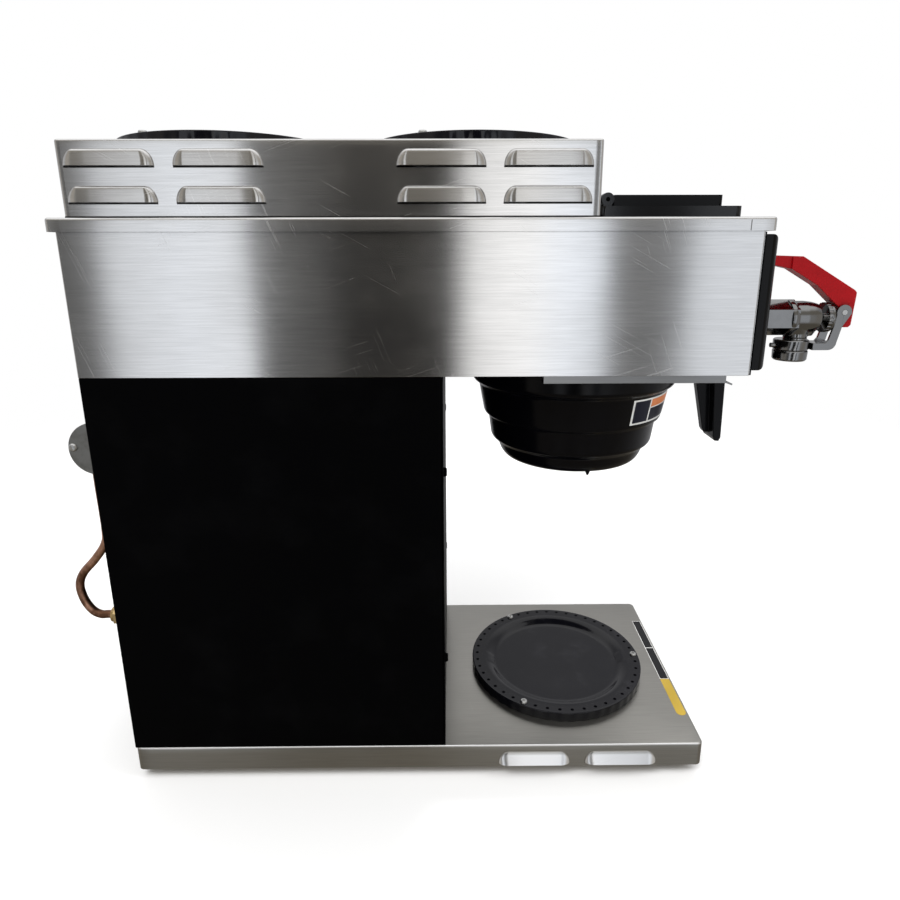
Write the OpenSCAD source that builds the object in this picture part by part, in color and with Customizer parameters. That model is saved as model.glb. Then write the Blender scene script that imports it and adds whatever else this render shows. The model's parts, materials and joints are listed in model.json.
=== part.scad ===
// Commercial drip coffee brewer with one lower and two upper warmers.
// Side layout: trunk at the rear, hood over the decanter bay, hot-water faucet at the front.
// Millimetres, +X to the front, +Z up, origin under the middle of the whole machine.
// Inside seat(), X is counted from the trunk's rear face and Z from the base's underside.

/* [Base] */
// Width of base, trunk and hood
body_w = 216; // [212:1:224]
// Length of the base, from the trunk's rear face
base_l = 472.3; // [465:0.1:480]
// Height of the base's deck over its lower edge
base_h = 21; // [20:0.5:26]
// Plan radius of the base's corners
base_r = 5; // [3:0.5:8]
// Height of the rubber feet under the base
foot_h = 9; // [7:0.5:12]
// Largest radius of a rubber foot
foot_r = 14; // [10:0.5:16]

/* [Trunk and hood] */
// Depth of the trunk, rear face to front face
trunk_d = 257; // [250:1:262]
// Height of the hood's lower edge
hood_z0 = 333; // [330:0.5:340]
// Height of the hood's top cover
hood_z1 = 441; // [436:0.5:446]
// Length of the hood's side panels
hood_l = 474.5; // [470:0.5:480]
// Overhang of the top cover's lip beside the hood
lip_gap = 4.4; // [3.5:0.1:6]
// Depth of the top cover's turned-down lip
lip_h = 9; // [7:0.5:12]
// Thickness of the stainless sheet
sheet = 1.2; // [1:0.1:1.4]

/* [Front panel] */
// Thickness of the moulded front panel
panel_t = 11; // [9:0.5:13]
// Width of the front panel
panel_w = 208; // [200:1:210]
// Radius of the panel's front edges
panel_r = 5.5; // [3:0.5:7]
// Width of a rocker switch
rocker_w = 13; // [11:0.5:14]
// Height of a rocker switch
rocker_h = 26; // [22:0.5:28]
// Rest tilt of a rocker, which is half its travel, in degrees
rocker_tilt = 8; // [4:1:8]

/* [Warmers] */
// Radius of a warmer plate
warmer_r = 82; // [78:0.5:84]
// Height of a warmer's rim over its deck
warmer_h = 8.8; // [8.8:0.1:10]
// Radius of the flat heated disc
disc_r = 60; // [56:0.5:62]
// Height of the flat disc's top over the deck
disc_h = 3.4; // [3:0.1:4]
// Radius on which the rim's holes and screws lie
rim_hole_pcr = 77.3; // [76:0.1:78]
// Holes around the rim, screws included
rim_holes = 45; // [30:3:60]
// Radius of one rim hole
rim_hole_r = 1.4; // [1:0.1:1.8]
// X of the lower warmer's centre
lower_warmer_x = 365; // [355:1:375]
// X of the upper rear warmer's centre
rear_warmer_x = 86.3; // [84:0.1:90]
// X of the upper front warmer's centre
front_warmer_x = 282.3; // [278:0.1:284]

/* [Upper housing] */
// X of the upper housing's rear face
house_x0 = 4.2; // [2:0.1:6]
// X of the upper housing's front face
house_x1 = 364.3; // [362:0.1:366]
// Width of the upper housing
house_w = 204; // [200:1:206]
// Height of the upper housing's deck
house_z1 = 490.6; // [486:0.1:496]

/* [Louvers] */
// Width of a louver along its open lower edge
louver_w = 59.5; // [54:0.5:62]
// Width of a louver's flat blade
louver_flat = 43; // [38:0.5:48]
// Height of a louver
louver_h = 10.5; // [9:0.1:11]
// How far a louver stands out
louver_d = 4.2; // [3:0.1:4.3]

/* [Funnel] */
// X of the funnel's centre at rest
funnel_x = 369; // [366:0.5:372]
// Radius of the funnel's flange
flange_r = 99; // [96:0.5:100]
// Wall thickness of the funnel
funnel_t = 2.4; // [2:0.1:3]
// Height of the rails' ledges
rail_z = 327; // [325:0.5:328]
// X of the rails' rear ends
rail_x0 = 329; // [320:1:335]
// X of the rails' front ends
rail_x1 = 460; // [455:1:465]

/* [Faucet] */
// Y of the faucet's centre plane
faucet_y = -55; // [-60:1:-50]
// Height of the faucet's shank
faucet_z = 368.5; // [366:0.5:371]
// Width of the hexagonal shank over its flats
shank_af = 24; // [20:0.5:26]
// Thickness of the handle
handle_t = 12; // [8:0.5:12]
// X of the handle's pivot
pivot_x = 563.3; // [562:0.1:565]
// Height of the handle's pivot
pivot_z = 373; // [372:0.1:374]

/* [Tank and plumbing] */
// Radius of the tank
tank_r = 82; // [76:1:84]
// Height of the tank's top
tank_z1 = 300; // [290:1:302]
// X of the tank's centre
tank_x = 112; // [108:1:116]
// Outer radius of the copper tube
tube_r = 3.2; // [3:0.1:3.5]
// Radius of the valve bracket's round tab
tab_r = 20; // [18:0.5:20]

/* [Hidden] */

round_fn = 64;
steel = "Silver";
black = "DimGray";
slide_fit = 0.05;

// The copper tube's rearmost point and the handle's foremost point set the middle in X
loop_reach = -38.7;
handle_reach = 572.2;
x_mid = (loop_reach + handle_reach) / 2;

half_w = body_w / 2;
trunk_half = half_w - 0.5;
house_z0 = hood_z1;
chassis_x0 = hood_l;
chassis_x1 = chassis_x0 + 2;
panel_x1 = chassis_x1 + panel_t;
panel_z0 = 336;
panel_z1 = 430;
cable_r = 20;
deck_hole_r = disc_r + 2;
floor_z = 341;
screw_r = 1.5;

foot_at = [[36, -75], [36, 75], [430, -75], [430, 75]];
trunk_screw_at = [[-100, 99.9], [-100, 258.9], [100, 99.9], [100, 258.9]];
house_louver_x = [38.4, 110.2, 257.1, 328.3];
house_louver_z = [451, 474];
base_louver_x = [331, 403.2];
base_louver_z = 4;

rocker_x = panel_x1 - 2.4;
upper_row_z = 405;
lower_row_z = 365;
power_at = [40, upper_row_z];
start_at = [66, upper_row_z];
lower_warmer_at = [14, lower_row_z];
front_warmer_at = [40, lower_row_z];
rear_warmer_at = [66, lower_row_z];
rocker_at = [power_at, start_at, lower_warmer_at, front_warmer_at, rear_warmer_at];
light_at = [90, upper_row_z];
light_r = 5;
rocker_pin_r = 1.2;
rocker_stub = 0.3;

hinge_x = 371;
hinge_z = 453.4;
hinge_pin_r = 1.5;
lid_half = 88;
basin_half = 92;
basin_x1 = 465;
bowl = [379, 447, 70, 398];
ear_gap = 84;
ear_l = basin_half - ear_gap - 0.6;

bracket_y = -101;
tab_x = 1.2;
tab_z = 278.5;
tab_t = 1.5;
valve_x = -10;
valve_y = -72;
tube_y = -88;
feed_z = 134;
cord_y = 60;
cord_z = 50;
cord_bore_r = 5.5;

switch_x0 = 458;
warmer_at = [[lower_warmer_x, base_h], [rear_warmer_x, house_z1], [front_warmer_x, house_z1]];

rail_half = 104.2;
ledge = 11;
spray_z0 = 335.6;
handle_x0 = funnel_x + 88;

// Funnel's outside from under the flange to the drip nose, as height and radius
tier = [
    [313.5, 87.2], [311.8, 86.3], [308.6, 81.4], [283.6, 77], [282, 76.4], [280.3, 72.9], [261.3, 70.2],
    [259.8, 69.4], [256, 64.4], [247.5, 61.5], [243.5, 58.5], [241.6, 53], [239, 12]
];
flange_z = [328.6, 331.4];
nose_z = 234;
rib_count = 24;
rib_z = [261, 278];
rib_r = [62.5, 69];
drip_r = 2.5;

basin_z1 = 449;
lid_x1 = 452;
lid_z1 = 456.5;
bowl_drain = [(bowl[0] + bowl[1]) / 2, 0];

heater_half = 18;
heater_z0 = 70;
lid_top = tank_z1 + 3.5;
bulb_y = 40;
spray_port = [tank_x + 42, 8];
faucet_port = [tank_x + 38, -40];
port_end = tank_z1 + 9.2;
board = [286, 350, 22, 94];
board_z = floor_z + sheet + 6;

valve_top = 284;
tab_screw = [-15, 280];
bracket_screw_y = bracket_y + 13;
bracket_screw_z = [tab_z - 12, tab_z + 12];

barrel_x0 = 528;
barrel_x1 = 551;
outlet_x = 532;
outlet_z = 353;
aerator_x = 529.5;
aerator_z = 335.4;
yoke_half = handle_t / 2 + 2.6;
yoke_x0 = aerator_x + 12.9;
yoke_foot_z = 344;
yoke_bend = [554.4, 350, 6];

// ---------- helpers ----------

module seat() translate([-x_mid, 0, foot_h]) children();

// Cylinders along the machine's axes, from a start point
module rod_x(x, y, z, r, l, fn = round_fn)
    translate([x, y, z]) rotate([0, 90, 0]) cylinder(r = r, h = l, $fn = fn);
module rod_y(x, y, z, r, l, fn = round_fn)
    translate([x, y, z]) rotate([-90, 0, 0]) cylinder(r = r, h = l, $fn = fn);
module rod_z(x, y, z, r, l, fn = round_fn) translate([x, y, z]) cylinder(r = r, h = l, $fn = fn);

// Block between x0 and x1, w wide about the centre plane, with round plan corners
module plan_block(x0, x1, w, z0, z1, r) {
    translate([x0 + r, -w / 2, z0]) cube([x1 - x0 - 2 * r, w, z1 - z0]);
    translate([x0, -w / 2 + r, z0]) cube([x1 - x0, w - 2 * r, z1 - z0]);
    for (x = [x0 + r, x1 - r], y = [-w / 2 + r, w / 2 - r]) rod_z(x, y, z0, r, z1 - z0);
}

module block(x0, x1, y0, y1, z0, z1) translate([x0, y0, z0]) cube([x1 - x0, y1 - y0, z1 - z0]);

// Outline in X and Z, extruded along Y from y0 over a thickness t
module side_plate(y0, t) translate([0, y0 + t, 0]) rotate([90, 0, 0]) linear_extrude(t) children();

// Louver bonnet on a side wall, open at the bottom; g shrinks it to its inner space
module bonnet(x, z, wall, side, g = 0) {
    w1 = louver_w / 2 - g;
    w2 = louver_flat / 2 - g;
    d = louver_d - g;
    h = louver_h - g;
    root = g > 0 ? -sheet - 1 : -sheet / 2;
    drop = g > 0 ? 1 : 0;
    mirror([0, side > 0 ? 0 : 1, 0]) translate([x, wall, z]) intersection() {
        side_plate(root, d - root)
            polygon([[-w1, -drop], [w1, -drop], [w1, h / 3], [w2, h], [-w2, h], [-w1, h / 3]]);
        rotate([90, 0, 90]) translate([0, 0, -w1]) linear_extrude(2 * w1)
            polygon([[root, -drop], [d, -drop], [d, h / 3], [d / 3, h], [root, h]]);
    }
}

// Sweep of a round section along a list of points
function unit(v) = v / norm(v);
function tangent(p, i) = unit(p[min(i + 1, len(p) - 1)] - p[max(i - 1, 0)]);
function side_of(t) = unit(cross(t, abs(t[1]) < 0.8 ? [0, 1, 0] : [0, 0, 1]));
module sweep(path, r, sides = 12) {
    rings = [for (i = [0:len(path) - 1]) let (t = tangent(path, i), a = side_of(t), b = cross(t, a))
        [for (k = [0:sides - 1]) path[i] + r * (cos(360 * k / sides) * a + sin(360 * k / sides) * b)]];
    n = len(path);
    polyhedron(
        [for (ring = rings, q = ring) q],
        concat(
            [[for (k = [0:sides - 1]) k]],
            [for (i = [0:n - 2], k = [0:sides - 1])
                let (a = i * sides, b = a + sides, m = (k + 1) % sides) [a + k, b + k, b + m, a + m]],
            [[for (k = [sides - 1:-1:0]) (n - 1) * sides + k]]
        )
    );
}

// Smooth curve through hand-chosen points
function spline_point(p, i, u) =
    let (a = p[max(i - 1, 0)], b = p[i], c = p[i + 1], d = p[min(i + 2, len(p) - 1)])
    b + 0.5 * u * ((c - a) + u * ((2 * a - 5 * b + 4 * c - d) + u * (3 * b - a - 3 * c + d)));
function smooth(p, steps = 4) = concat(
    [for (i = [0:len(p) - 2], k = [0:steps - 1]) spline_point(p, i, k / steps)],
    [p[len(p) - 1]]
);

// ---------- base ----------

module side_louvers(xs, zs, wall) for (x = xs, z = zs, side = [-1, 1]) bonnet(x, z, wall, side);
module side_louver_cuts(xs, zs, wall)
    for (x = xs, z = zs, side = [-1, 1]) bonnet(x, z, wall, side, sheet * 0.7);

module warmer_deck_holes(cx, z) {
    rod_z(cx, 0, z - 5, deck_hole_r, 10);
    for (a = [0, 120, 240]) translate([cx, 0, 0]) rotate(a)
        rod_z(rim_hole_pcr, 0, z - 5, screw_r + slide_fit, 10);
}

module base_deck() color(steel) seat() difference() {
    union() {
        plan_block(0, base_l, body_w, 0, base_h, base_r);
        side_louvers(base_louver_x, [base_louver_z], half_w);
    }
    plan_block(sheet, base_l - sheet, body_w - 2 * sheet, -1, base_h - sheet, base_r - sheet);
    side_louver_cuts(base_louver_x, [base_louver_z], half_w);
    warmer_deck_holes(lower_warmer_x, base_h);
    rod_z(225, -70, base_h - 5, cable_r, 10);
}

module base_pan() color("DarkGray") seat() difference() {
    plan_block(sheet + 0.3, base_l - sheet - 0.3, body_w - 2 * sheet - 0.6, 0.2, 1.4, base_r - sheet);
    for (p = foot_at) rod_z(p[0], p[1], -1, screw_r + slide_fit, 4);
}

module rubber_feet() color("Black") seat() for (p = foot_at) difference() {
    translate([p[0], p[1], -foot_h]) rotate_extrude($fn = round_fn) polygon([
        [0, 0], [foot_r - 2, 0], [foot_r - 1, 1], [foot_r, foot_h - 2],
        [foot_r, foot_h + 0.2], [0, foot_h + 0.2]
    ]);
    rod_z(p[0], p[1], -foot_h - 1, 4.2, 5);
    rod_z(p[0], p[1], -foot_h, screw_r + slide_fit, foot_h + 2);
}

module foot_screws() color("Silver") seat() for (p = foot_at) {
    rod_z(p[0], p[1], -foot_h + 1.8, 3.4, 2.2);
    rod_z(p[0], p[1], -foot_h + 4, screw_r, foot_h + 1);
}

// ---------- trunk ----------

module trunk_body() color(black) seat() {
    flange_x = trunk_d - 2 * sheet - 0.2;
    difference() {
        block(0, flange_x + sheet, -trunk_half, trunk_half, base_h, hood_z0);
        block(sheet, flange_x, -trunk_half + sheet, trunk_half - sheet, base_h - 1, hood_z0 + 1);
        block(flange_x - 1, trunk_d, -trunk_half + 14, trunk_half - 14, base_h - 1, hood_z0 + 1);
        for (p = trunk_screw_at) rod_x(flange_x - 1, p[0], p[1], screw_r + slide_fit, 5);
        rod_x(-1, tube_y, feed_z, 6.2, 4);
        rod_x(-1, cord_y, cord_z, 9.2, 4);
        for (z = bracket_screw_z) rod_x(-1, bracket_screw_y, z, screw_r + slide_fit, 4);
    }
}

module trunk_front_cover() color(black) seat() difference() {
    block(trunk_d - sheet, trunk_d, -trunk_half, trunk_half, base_h, hood_z0 - 0.3);
    for (p = trunk_screw_at) rod_x(trunk_d - 3, p[0], p[1], screw_r + slide_fit, 5);
}

module trunk_screws() color("Black") seat() for (p = trunk_screw_at) {
    translate([trunk_d, p[0], p[1]]) rotate([0, 90, 0]) rotate_extrude($fn = 32)
        polygon([[0, 0], [3.6, 0], [3.6, 1], [2.6, 2.2], [0, 2.5]]);
    rod_x(trunk_d - 8, p[0], p[1], screw_r, 8.5, 32);
}

// ---------- hood ----------

module hood_shell() color(steel) seat() difference() {
    block(0, hood_l, -half_w, half_w, hood_z0, hood_z1 - sheet);
    block(sheet, hood_l + 1, -half_w + sheet, half_w - sheet, hood_z0 - 1, hood_z1 + 1);
}

module hood_floor() color("Gainsboro") seat() difference() {
    inner = half_w - sheet - 0.2;
    union() {
        block(trunk_d, hood_l - 0.3, -inner, inner, floor_z, floor_z + sheet);
        block(trunk_d + 0.2, trunk_d + 0.2 + sheet, -inner, inner, hood_z0, floor_z + sheet / 2);
    }
    rod_z(funnel_x, 0, floor_z - 2, 6.1, 6);
}

module hood_top_cover() color(steel) seat() {
    x0 = -lip_gap + 0.5;
    x1 = hood_l + lip_gap + 1;
    w = body_w + 2 * lip_gap;
    difference() {
        plan_block(x0, x1, w, hood_z1 - lip_h, hood_z1, 2.5);
        plan_block(x0 + sheet, x1 - sheet, w - 2 * sheet, hood_z1 - lip_h - 1, hood_z1 - sheet, 1.3);
        for (x = [rear_warmer_x, front_warmer_x]) rod_z(x, 0, hood_z1 - 5, cable_r, 10);
        block(bowl[0] - 3, bowl[1] + 3, -bowl[2] - 3, bowl[2] + 3, hood_z1 - 5, hood_z1 + 5);
    }
}

// Block around every rocker, wider by gy on each side and taller by gz
module rocker_blocks(x0, x1, gy, gz) for (p = rocker_at) block(
    x0, x1, p[0] - rocker_w / 2 - gy, p[0] + rocker_w / 2 + gy,
    p[1] - rocker_h / 2 - gz, p[1] + rocker_h / 2 + gz
);

module front_chassis_plate() color("Black") seat() difference() {
    block(chassis_x0, chassis_x1, -half_w + 2, half_w - 2, hood_z0, hood_z1 - lip_h - 0.5);
    rod_x(chassis_x0 - 1, faucet_y, faucet_z, 10.3, 5);
    rod_x(chassis_x0 - 1, light_at[0], light_at[1], light_r + 0.3, 5);
    rocker_blocks(chassis_x0 - 1, chassis_x1 + 1, 0.5, 1);
}

// Outline with both front corners rounded, from the back face to the front face
module rounded_front(x0, x1, a, b, r) {
    translate([x0, a]) square([x1 - r - x0, b - a]);
    translate([x0, a + r]) square([x1 - x0, b - a - 2 * r]);
    for (q = [a + r, b - r]) translate([x1 - r, q]) circle(r = r, $fn = 48);
}

module front_panel() color("Black") seat() difference() {
    intersection() {
        side_plate(-panel_w / 2, panel_w)
            rounded_front(chassis_x1, panel_x1, panel_z0, panel_z1, panel_r);
        translate([0, 0, panel_z0]) linear_extrude(panel_z1 - panel_z0)
            rounded_front(chassis_x1, panel_x1, -panel_w / 2, panel_w / 2, panel_r);
    }
    block(chassis_x1 - 1, panel_x1 - 3, -panel_w / 2 + 6, panel_w / 2 - 6, panel_z0 + 6, panel_z1 - 6);
    rod_x(chassis_x1 - 1, faucet_y, faucet_z, 10.5, panel_t + 2);
    rod_x(chassis_x1 - 1, light_at[0], light_at[1], light_r + 0.3, panel_t + 2);
    rocker_blocks(chassis_x1 - 1, panel_x1 + 1, 0.45, 0.9);
}

module upper_warmer_housing() color(steel) seat() difference() {
    union() {
        plan_block(house_x0, house_x1, house_w, house_z0, house_z1, 2);
        side_louvers(house_louver_x, house_louver_z, house_w / 2);
    }
    plan_block(
        house_x0 + sheet, house_x1 - sheet, house_w - 2 * sheet, house_z0 - 1, house_z1 - sheet, 0.8
    );
    side_louver_cuts(house_louver_x, house_louver_z, house_w / 2);
    for (x = [rear_warmer_x, front_warmer_x]) warmer_deck_holes(x, house_z1);
}

// ---------- warmers ----------

module warmer_plate(cx, z) color("Black") seat() translate([cx, 0, z]) difference() {
    skin = 1.2;
    rotate_extrude($fn = 128) polygon([
        [0, disc_h - skin], [disc_r + 0.4, disc_h - skin], [disc_r + 6.4, warmer_h - 1.8],
        [warmer_r - 2.8, warmer_h - skin], [warmer_r - skin, warmer_h - 2.8], [warmer_r - skin, 0],
        [warmer_r, 0], [warmer_r, warmer_h - 2.4], [warmer_r - 2.2, warmer_h],
        [disc_r + 6, warmer_h - 0.6], [disc_r, disc_h], [0, disc_h]
    ]);
    for (i = [0:rim_holes - 1]) rotate(360 * i / rim_holes)
        rod_z(rim_hole_pcr, 0, 4, i % (rim_holes / 3) == 0 ? screw_r + slide_fit : rim_hole_r, 6, 24);
}

module lower_warmer_plate() warmer_plate(lower_warmer_x, base_h);
module upper_rear_warmer_plate() warmer_plate(rear_warmer_x, house_z1);
module upper_front_warmer_plate() warmer_plate(front_warmer_x, house_z1);

module warmer_elements() color("Gray") seat() for (p = warmer_at) translate([p[0], 0, p[1]]) {
    rod_z(0, 0, disc_h - 1.4 - 7, 50, 7);
    for (y = [-8, 8]) block(-56, -44, y - 3, y + 3, disc_h - 8, disc_h - 6.5);
}

module warmer_screws() color("Silver") seat() for (p = warmer_at, a = [0, 120, 240])
    translate([p[0], 0, p[1]]) rotate(a) translate([rim_hole_pcr, 0, 0]) {
        translate([0, 0, warmer_h]) rotate_extrude($fn = 32)
            polygon([[0, 0], [3.2, 0], [3.1, 0.7], [2.1, 1.6], [0, 1.9]]);
        rod_z(0, 0, -5, screw_r, warmer_h + 5.5, 24);
    }

// ---------- brewing ----------

module funnel_rails() color(steel) seat() for (side = [0, 1]) mirror([0, side, 0]) {
    block(rail_x0, rail_x1, rail_half - sheet, rail_half, rail_z, floor_z);
    block(rail_x0, rail_x1, rail_half - ledge, rail_half - sheet / 2, rail_z, rail_z + sheet);
    translate([rail_x1 - 0.1, rail_half - ledge, rail_z]) rotate([0, 20, 0]) cube([5, ledge, sheet]);
}

module sprayhead() color("White") seat() difference() {
    union() {
        rod_z(funnel_x, 0, spray_z0, 16, floor_z - spray_z0);
        rod_z(funnel_x, 0, floor_z - 1, 6, 12);
    }
    rod_z(funnel_x, 0, floor_z - 2, 4, 14);
    for (a = [0:60:300]) translate([funnel_x, 0, 0]) rotate(a) rod_z(10, 0, spray_z0 - 5, 1, 20, 16);
}

module sprayhead_tube() color("Peru") seat() sweep(smooth([
    [funnel_x, 0, floor_z + 11.2], [funnel_x, 0, floor_z + 14], [funnel_x, 0, floor_z + 17],
    [funnel_x - 6, 0, floor_z + 22],
    [funnel_x - 20, 0, floor_z + 24], [funnel_x - 120, 4, floor_z + 22], [tank_x + 60, 8, floor_z + 18],
    [tank_x + 44, 8, floor_z + 8], [spray_port[0], spray_port[1], floor_z - 10],
    [spray_port[0], spray_port[1], port_end + 10.8], [spray_port[0], spray_port[1], port_end]
]), 5);

module pour_in_basin() color("Black") seat() difference() {
    union() {
        plan_block(house_x1 + 0.4, basin_x1, 2 * basin_half, hood_z1, basin_z1, 5);
        block(bowl[0], bowl[1], -bowl[2], bowl[2], bowl[3], hood_z1 + 1);
        rod_z(bowl_drain[0], bowl_drain[1], bowl[3] - 12, 8, 14);
        for (y = [ear_gap + 0.2, -basin_half + 0.2]) intersection() {
            rod_y(hinge_x, y, hinge_z, 4.4, ear_l);
            block(0, hood_l, -half_w, half_w, hood_z1 + 2, hinge_z + 10);
        }
        for (y = [ear_gap + 0.2, -basin_half + 0.4]) translate([hinge_x - 3, y, hood_z1 + 3])
            cube([6, ear_l, hinge_z - hood_z1 - 3]);
    }
    block(bowl[0] + 2.5, bowl[1] - 2.5, -bowl[2] + 2.5, bowl[2] - 2.5, bowl[3] + 2.5, basin_z1 + 10);
    rod_z(bowl_drain[0], bowl_drain[1], bowl[3] - 14, 5, 20);
    rod_y(hinge_x, -basin_half - 1, hinge_z, hinge_pin_r, 2 * basin_half + 2, 32);
}

module lid_hinge_pin() color("Silver") seat()
    rod_y(hinge_x, -basin_half + 1, hinge_z, hinge_pin_r, 2 * basin_half - 2, 32);

module pour_in_lid() color("Black") seat() difference() {
    union() {
        difference() {
            plan_block(hinge_x + 1, lid_x1, 2 * lid_half, basin_z1 + 0.3, lid_z1, 3);
            plan_block(hinge_x + 7, lid_x1 - 2.5, 2 * lid_half - 6, basin_z1, lid_z1 - 2.5, 2);
            for (y = [ear_gap, -ear_gap - 20]) block(hinge_x - 11, hinge_x + 5.2, y, y + 20, 440, 460);
        }
        rod_y(hinge_x, -ear_gap + 0.3, hinge_z, 3.9, 2 * ear_gap - 0.6);
    }
    rod_y(hinge_x, -basin_half, hinge_z, hinge_pin_r + slide_fit, 2 * basin_half, 32);
}

module brew_funnel() color("Black") seat() translate([funnel_x, 0, 0]) difference() {
    union() {
        difference() {
            rotate_extrude($fn = 128) polygon(concat(
                [[0, flange_z[1]], [flange_r, flange_z[1]], [flange_r, flange_z[0]], [88, flange_z[0]]],
                [for (p = tier) [p[1], p[0]]],
                [[6, 238.6], [5, nose_z], [0, nose_z]]
            ));
            rotate_extrude($fn = 128) polygon(concat(
                [[0, flange_z[1] + 1], [85, flange_z[1] + 1]],
                [for (p = tier) [p[1] - funnel_t, p[0] + funnel_t]],
                [[0, 241.4]]
            ));
        }
        // Feet around the nose, and ribs that hold the paper filter off the wall
        for (a = [-84, 36, 156]) rotate(a) rod_z(56, 0, 237.4, 1.6, 6, 24);
        for (i = [0:rib_count - 1]) rotate(360 / rib_count * (i + 0.5))
            translate([rib_r[0], -0.8, rib_z[0]]) cube([rib_r[1] - rib_r[0], 1.6, rib_z[1] - rib_z[0]]);
    }
    rod_z(0, 0, nose_z - 4, drip_r, 20, 32);
}

module funnel_handle() color("Black") seat() difference() {
    union() {
        // Arm from the funnel's wall to the grip
        block(handle_x0 - 2, 480, -11, 11, 315, 328.4);
        // Narrow rib behind the grip, and the wider blade in front of it
        side_plate(-4, 8) polygon([
            [478, 328.4], [478, 308], [487.5, 264], [489.5, 261], [494, 261], [494, 328.4]
        ]);
        side_plate(-13, 26) polygon([
            [490, 328.4], [490.5, 308], [494, 259], [496, 255.4],
            [499.5, 255], [501, 258], [499.4, 328.4]
        ]);
    }
    translate([funnel_x, 0, 310]) cylinder(r = 88.05, h = 18.7, $fn = 128);
}

// ---------- tank and controls ----------

module tank_shell() color(steel) seat() difference() {
    union() {
        rod_z(tank_x, 0, base_h + 12, tank_r, tank_z1 - base_h - 12, 96);
        rod_z(tank_x, 0, tank_z1 - sheet, tank_r + 5, sheet, 96);
        for (a = [45:90:315]) translate([tank_x, 0, 0]) rotate(a) rod_z(tank_r - 14, 0, base_h, 6, 13);
    }
    rod_z(tank_x, 0, base_h + 12 + sheet, tank_r - sheet, 400, 96);
}

module tank_gasket() color("OrangeRed") seat() difference() {
    rod_z(tank_x, 0, tank_z1, tank_r + 5, 1.5, 96);
    rod_z(tank_x, 0, tank_z1 - 1, tank_r - sheet, 4, 96);
}

module tank_lid() color(steel) seat() difference() {
    union() {
        rod_z(tank_x, 0, tank_z1 + 1.5, tank_r + 5, 2, 96);
        for (p = [spray_port, faucet_port]) rod_z(p[0], p[1], lid_top - 1, 8, 6.5);
    }
    for (x = [tank_x - heater_half, tank_x + heater_half]) rod_z(x, 0, tank_z1, 4.5, 8);
    rod_z(tank_x, bulb_y, tank_z1, 3.5, 8);
    for (p = [spray_port, faucet_port]) rod_z(p[0], p[1], tank_z1, 4, 12);
}

module immersion_heater() color("Gray") seat() translate([tank_x, 0, 0]) {
    for (side = [-1, 1]) {
        rod_z(side * heater_half, 0, heater_z0, 4, 250, 32);
        rod_z(side * heater_half, 0, lid_top, 9, 5, 6);
    }
    translate([0, 0, heater_z0]) rotate([-90, 0, 0]) rotate_extrude(angle = 180, $fn = 64)
        translate([heater_half, 0]) circle(r = 4, $fn = 32);
}

module thermostat_bulb() color("Peru") seat() {
    rod_z(tank_x, bulb_y, lid_top - 154, 3.2, 160, 32);
    rod_z(tank_x, bulb_y, lid_top, 6, 5, 6);
}

module control_thermostat() color("Tan") seat() {
    block(208, 248, 0, 40, base_h, base_h + 34);
    rod_z(228, 20, base_h + 33, 4, 14, 32);
}

module limit_thermostat() color("Black") seat() translate([tank_x - 38, -30, lid_top]) {
    cylinder(r = 9, h = 9, $fn = 48);
    for (y = [-5, 5]) translate([-3, y - 0.5, 8]) cube([6, 1, 9]);
}

module tank_feed_tube() color("Peru") seat() sweep(smooth([
    [12.6, tube_y, feed_z], [16, tube_y, feed_z], [22, tube_y + 1.5, feed_z - 2],
    [32, tube_y + 8, feed_z - 14],
    [42, tube_y + 15, 90], [49, tube_y + 18, 66], [54, -67, 60], [59, -64, 60]
]), tube_r);

// ---------- inlet plumbing at the rear ----------

module inlet_tube() color("Peru") seat() sweep(smooth([
    [-8, tube_y, 262], [-8, tube_y, 240], [-8, tube_y, 208], [-10.5, tube_y, 196],
    [-20, tube_y, 183], [-31, tube_y, 171], [-35.4, tube_y, 160], [-33.5, tube_y, 147],
    [-28, tube_y, 137.5], [-22, tube_y, 134], [-17, tube_y, feed_z], [-12.2, tube_y, feed_z]
]), tube_r);

module bulkhead_fitting() color("Khaki") seat() difference() {
    union() {
        rod_x(-12, tube_y, feed_z, 6, 24);
        rod_x(-9, tube_y, feed_z, 8.5, 6, 6);
        rod_x(sheet, tube_y, feed_z, 8.5, 5, 6);
        rod_x(-1.5, tube_y, feed_z, 8.5, 1.5);
    }
    rod_x(-11, tube_y, feed_z, 2.4, 22, 32);
}

module inlet_valve_bracket() color("Gray") seat() difference() {
    union() {
        intersection() {
            rod_y(tab_x, bracket_y, tab_z, tab_r, tab_t);
            block(-30, 0, bracket_y - 1, bracket_y + 3, 200, 350);
        }
        block(-tab_t, 0, bracket_y, bracket_y + 18, tab_z - tab_r + 0.4, tab_z + tab_r - 0.4);
    }
    rod_y(tab_screw[0], bracket_y - 1, tab_screw[1], screw_r + slide_fit, 4, 32);
    for (z = bracket_screw_z) rod_x(-3, bracket_screw_y, z, screw_r + slide_fit, 4, 32);
}

module inlet_valve_body() color("Khaki") seat() difference() {
    union() {
        rod_y(valve_x, bracket_y + tab_t, 279, 7.5, 12);
        block(-18, -4, -92, -62, 262, valve_top);
        rod_y(valve_x, -63, 273, 5.56, 21, 48);
    }
    rod_y(valve_x, -80, 273, 3, 40, 32);
    rod_z(valve_x, valve_y, 268.4, 3.6, 20, 32);
    rod_y(tab_screw[0], bracket_y, tab_screw[1], screw_r + slide_fit, 8, 32);
}

module inlet_valve_coil() color("Black") seat() difference() {
    rod_z(valve_x, valve_y, valve_top, 8.4, 28);
    rod_z(valve_x, valve_y, valve_top - 1, 3.6, 26, 32);
}

module valve_plunger() color("Silver") seat() rod_z(valve_x, valve_y, 277, 3.3, 26, 32);

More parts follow.
